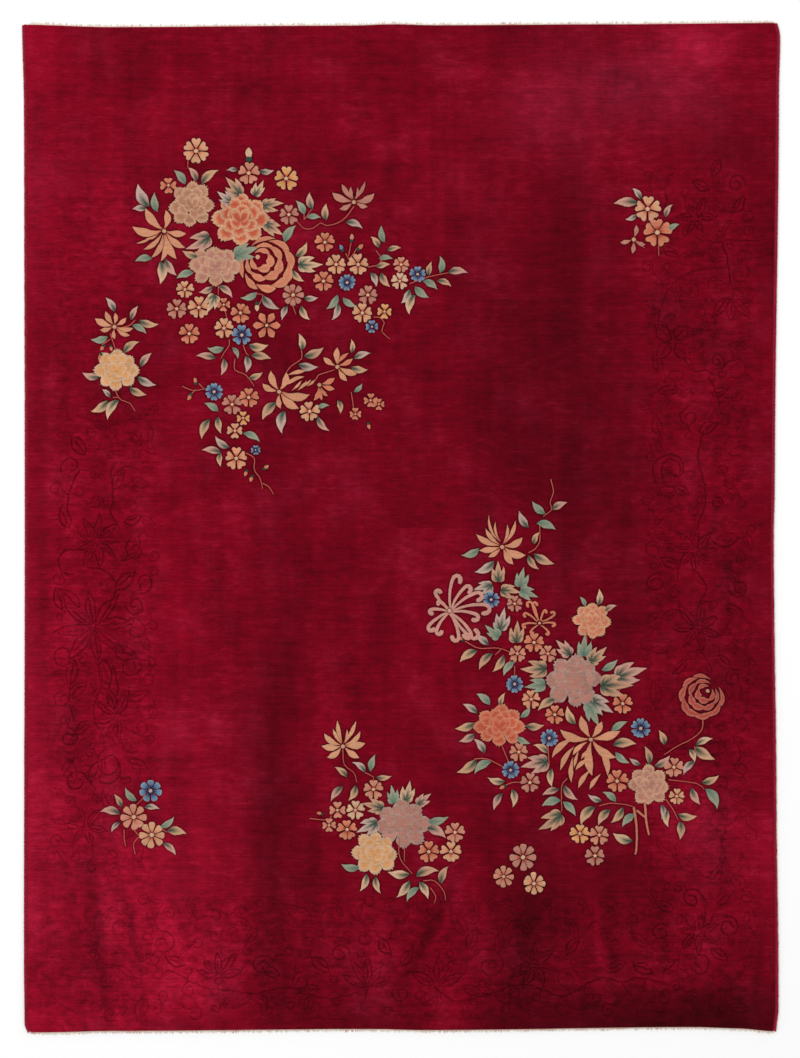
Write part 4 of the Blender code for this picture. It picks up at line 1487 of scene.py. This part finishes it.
def overcastTree():  # wraps of yarn, each a little out of true, round a core
    sizes = ("Pitch", "Half width", "Half height", "Yarn", "Slant")
    maker, given, line = newTree("overcastSide", sizes, "Wool")
    points, facing = pointsAlong(maker, line, given["Pitch"])
    shape = maker.vector(given["Half width"], given["Half height"], 1.0)
    loop = maker.node("GeometryNodeTransform", {}, {
        "Geometry": circle(maker, 12), "Rotation": (0.0, 0.0, math.pi / 12)})
    wrap = swept(maker, stretched(maker, loop, shape), circle(maker, 5, given["Yarn"]))
    lean = maker.vector(0.0, given["Slant"], 0.0)
    turn = varied(maker, given, (-0.05, -0.07, -0.03), (0.05, 0.07, 0.03))
    turn = turned(maker, maker.node("ShaderNodeVectorMath", {"operation": "ADD"}, {0: turn, 1: lean}))
    facing = maker.node("FunctionNodeRotateRotation", {"rotation_space": "LOCAL"}, {0: facing, 1: turn})
    wraps = maker.node("GeometryNodeInstanceOnPoints", {}, {
        "Points": points, "Instance": wrap, "Rotation": facing,
        "Scale": varied(maker, given, (0.93, 0.93, 0.9), (1.05, 1.05, 1.1))})
    core = swept(maker, line, stretched(maker, circle(maker, 10), shape), **{"Fill Caps": True})
    return closeTree(maker, (core, wraps), given["Wool"])


selvedge = {
    "pitch": 5.2 * mm,
    "yarn": 2.1 * mm,
    "slant": 0.30,
    "bedded": 1.2 * mm,  # how far the wraps bite into the side of the pile
    "wornReach": 0.45,  # from this share of the half width outwards the cotton may show
    "stations": 150,  # points of the line that the wraps follow
    "endGap": 11 * mm,  # from the end of the CAD cord to the first wrap
}


def makeSelvedge(name, node, tree, finish, seed, wornLow, wornHigh, outward):
    corners = cornersOf(node)
    low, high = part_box(node)
    stations = np.linspace(low.y + selvedge["endGap"], high.y - selvedge["endGap"], selvedge["stations"])
    ends = np.unique(corners[:, 1].round(3))
    across = [corners[abs(corners[:, 1] - end) < 1.1 * mm, 0] for end in ends]
    inner = np.array([row.min() for row in across])
    outer = np.array([row.max() for row in across])
    width = outer - inner
    whole = width > 0.7 * np.median(width[width > 5 * mm])
    middle = np.interp(stations, ends[whole], ((inner + outer) / 2)[whole]) - outward * selvedge["bedded"]
    halfWidth = float(np.median(width[whole])) / 2 - selvedge["yarn"] + selvedge["bedded"]
    halfHeight = (high.z - low.z) / 2 - selvedge["yarn"]
    line = np.column_stack((middle, stations, np.full(len(stations), low.z + halfHeight + selvedge["yarn"])))
    piece = grownFrom(name, line, tree, {
        "Pitch": selvedge["pitch"], "Half width": halfWidth, "Half height": halfHeight,
        "Yarn": selvedge["yarn"], "Slant": selvedge["slant"] * outward, "Seed": seed, "Wool": finish})
    places = np.zeros(len(piece.data.vertices) * 3)
    piece.data.vertices.foreach_get("co", places)
    x, y = places.reshape(-1, 3).T[:2]
    aside = (x - np.interp(y, stations, middle)) * outward / (halfWidth + selvedge["yarn"])
    worn = smoothStep(selvedge["wornReach"], 0.9, aside) * smoothStep(wornLow - 0.1, wornLow + 0.1, y)
    storeValue(piece.data, "worn", worn * (1 - smoothStep(wornHigh - 0.1, wornHigh + 0.1, y)))
    return piece


def warpTree():  # a strip of web, and the strands of warp that stand out from it
    sizes = ("Spacing", "Web half width", "Web half height", "Strand", "Length", "Heading", "Share")
    maker, given, line = newTree("cutWarpEnds", sizes, "Cotton")
    shape = maker.vector(given["Web half width"], given["Web half height"], 1.0)
    web = swept(maker, line, stretched(maker, circle(maker, 8), shape), **{"Fill Caps": True})
    points = pointsAlong(maker, line, given["Spacing"])[0]
    strand = maker.node("GeometryNodeMeshCone", {}, {
        "Vertices": 5, "Side Segments": 2, "Fill Segments": 1, "Radius Top": given["Strand"] * 0.7,
        "Radius Bottom": given["Strand"], "Depth": given["Length"]})
    chosen = maker.node("FunctionNodeRandomValue", {"data_type": "BOOLEAN"},
                        {"Probability": given["Share"], "Seed": given["Seed"]}, out=3)
    swing = maker.node("FunctionNodeRandomValue", {"data_type": "FLOAT"},
                       {2: -0.6, 3: 0.6, "Seed": given["Seed"]}, out=1)
    strands = maker.node("GeometryNodeInstanceOnPoints", {}, {
        "Points": points, "Instance": strand, "Selection": chosen,
        "Rotation": turned(maker, maker.vector(1.62, 0.0, given["Heading"] + swing)),
        "Scale": varied(maker, given, (0.7, 0.7, 0.35), (1.3, 1.3, 1.0))})
    return closeTree(maker, (web, strands), given["Cotton"])


warps = {
    "spacing": 3.3 * mm,
    "strand": 1.4 * mm,
    "length": 12 * mm,
    "webHalfWidth": 3.2 * mm,
    "webHalfHeight": 1.2 * mm,
    "beyond": 1.6 * mm,  # how far the web's middle lies outside the pile
    "above": 1.3 * mm,
    "cornerGap": 18 * mm,
    "endReach": 30 * mm,  # places this near to the end belong to it
}


def makeWarpEnds(name, side, tree, finish, seed, share):
    ring = edgeRing()
    atEnd = ring.imag * side > cadHigh.y - warps["endReach"]
    ending = ring[atEnd & (abs(ring.real) < cadHigh.x - warps["cornerGap"])]
    ending = ending[np.argsort(ending.real)]
    height = np.full(len(ending), warps["above"])
    line = np.column_stack((ending.real, ending.imag + side * warps["beyond"], height))
    return grownFrom(name, line, tree, {
        "Spacing": warps["spacing"], "Web half width": warps["webHalfWidth"],
        "Web half height": warps["webHalfHeight"], "Strand": warps["strand"], "Length": warps["length"],
        "Heading": math.pi if side > 0 else 0.0, "Share": share, "Seed": seed, "Cotton": finish})


# making everything

motifFinish = finished("flowerPile", flowerPile, wool["roughness"], 0.15, (1, 0.9, 0.85))
groundFinish = finished("crimsonPile", crimsonPile, wool["roughness"], wool["sheen"], (0.85, 0.10, 0.16))
backFinish = finished("wovenBack", wovenBack, 0.9, 0.1)
yarnFinish = finished("sideYarn", sideYarn, 0.85, 0.2, (1, 0.6, 0.6))
cottonFinish = finished("warpCotton", warpCotton, 0.9, 0.15)

sprays = {
    "upperLeftSpray": upperLeft, "leftSmallSpray": leftSmall, "upperRightSpray": upperRight,
    "lowerRightSpray": lowerRight, "looseTrioBlossoms": looseTrio, "bottomMiddleSpray": bottomMiddle,
    "bottomLeftSpray": bottomLeft,
}
grownSprays = [growSpray(name, plan, motifFinish) for name, plan in sprays.items()]
sprayPieces = [piece for spray, piece in grownSprays]
outlines = [outline for spray, piece in grownSprays for outline in spray.outlines]
woolGround = weaveGround(outlines, carvedStrokes(), (groundFinish, backFinish))

overcast = overcastTree()
leftSelvedge = makeSelvedge("leftSelvedge", "selvedge_left", overcast, yarnFinish, 3, 0.4, 1.75, -1)
rightSelvedge = makeSelvedge("rightSelvedge", "selvedge_right", overcast, yarnFinish, 8, -1.8, 0.05, 1)
cutWarps = warpTree()
topWarpEnds = makeWarpEnds("topWarpEnds", 1, cutWarps, cottonFinish, 5, 0.45)
bottomWarpEnds = makeWarpEnds("bottomWarpEnds", -1, cutWarps, cottonFinish, 11, 0.8)

replaced = (
    (woolGround, "pile_rug", "pile_wool"), (leftSelvedge, "selvedge_left", "selvedge_wool"),
    (rightSelvedge, "selvedge_right", "selvedge_wool"), (topWarpEnds, "warp_ends_top", "warp_cotton"),
    (bottomWarpEnds, "warp_ends_bottom", "warp_cotton"),
)
for piece, node, slot in replaced:
    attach(piece, "root")
    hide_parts(node)
for piece in sprayPieces:
    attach(piece, "root")


# floor, light and camera

studio = {
    "floor": 14.0,  # width of the floor, m
    "floorHeight": -1 * mm,
    "ambient": 0.86,
    "keyWatts": 230.0,
    "keyPlace": (-2.2, 3.0, 7.5),
    "keySize": 5.0,
    "lens": 100.0,
    "sensor": 36.0,
    "seenLength": 3.819,  # length of the floor that the view's long side takes in, m
    "aim": (-0.004, -0.005),
}


def layFloor():
    half, height = studio["floor"] / 2, studio["floorHeight"]
    mesh = bpy.data.meshes.new("floor")
    corners = [(x * half, y * half, height) for x, y in ((-1, -1), (1, -1), (1, 1), (-1, 1))]
    mesh.from_pydata(corners, [], [(0, 1, 2, 3)])
    material, shader = newMaterial("paleFloor", {
        "Base Color": (0.93, 0.93, 0.93, 1), "Roughness": 0.9, "Specular IOR Level": 0.0})
    mesh.materials.append(material)
    placed("floor", mesh)


def lightStudio():
    world = bpy.data.worlds.new("studio")
    bpy.context.scene.world = world
    world.use_nodes = True
    background = next(node for node in world.node_tree.nodes if node.type == "BACKGROUND")
    background.inputs["Color"].default_value = (1, 1, 1, 1)
    background.inputs["Strength"].default_value = studio["ambient"]
    lamp = bpy.data.lights.new("key", "AREA")
    lamp.energy, lamp.size = studio["keyWatts"], studio["keySize"]
    key = placed("key", lamp)
    key.location = studio["keyPlace"]
    key.rotation_euler = (-Vector(studio["keyPlace"])).to_track_quat("-Z", "Y").to_euler()


def setCamera():
    lens = bpy.data.cameras.new("camera")
    lens.lens, lens.sensor_width, lens.sensor_height = studio["lens"], studio["sensor"], studio["sensor"]
    lens.sensor_fit = "AUTO"
    lens.clip_end = 100
    height = studio["seenLength"] * studio["lens"] / studio["sensor"]
    camera = placed("camera", lens)
    camera.location = (*studio["aim"], height + pile["top"])
    bpy.context.scene.camera = camera


layFloor()
lightStudio()
setCamera()
bpy.context.scene.view_settings.view_transform = "Standard"
print("floor, light and camera are set")
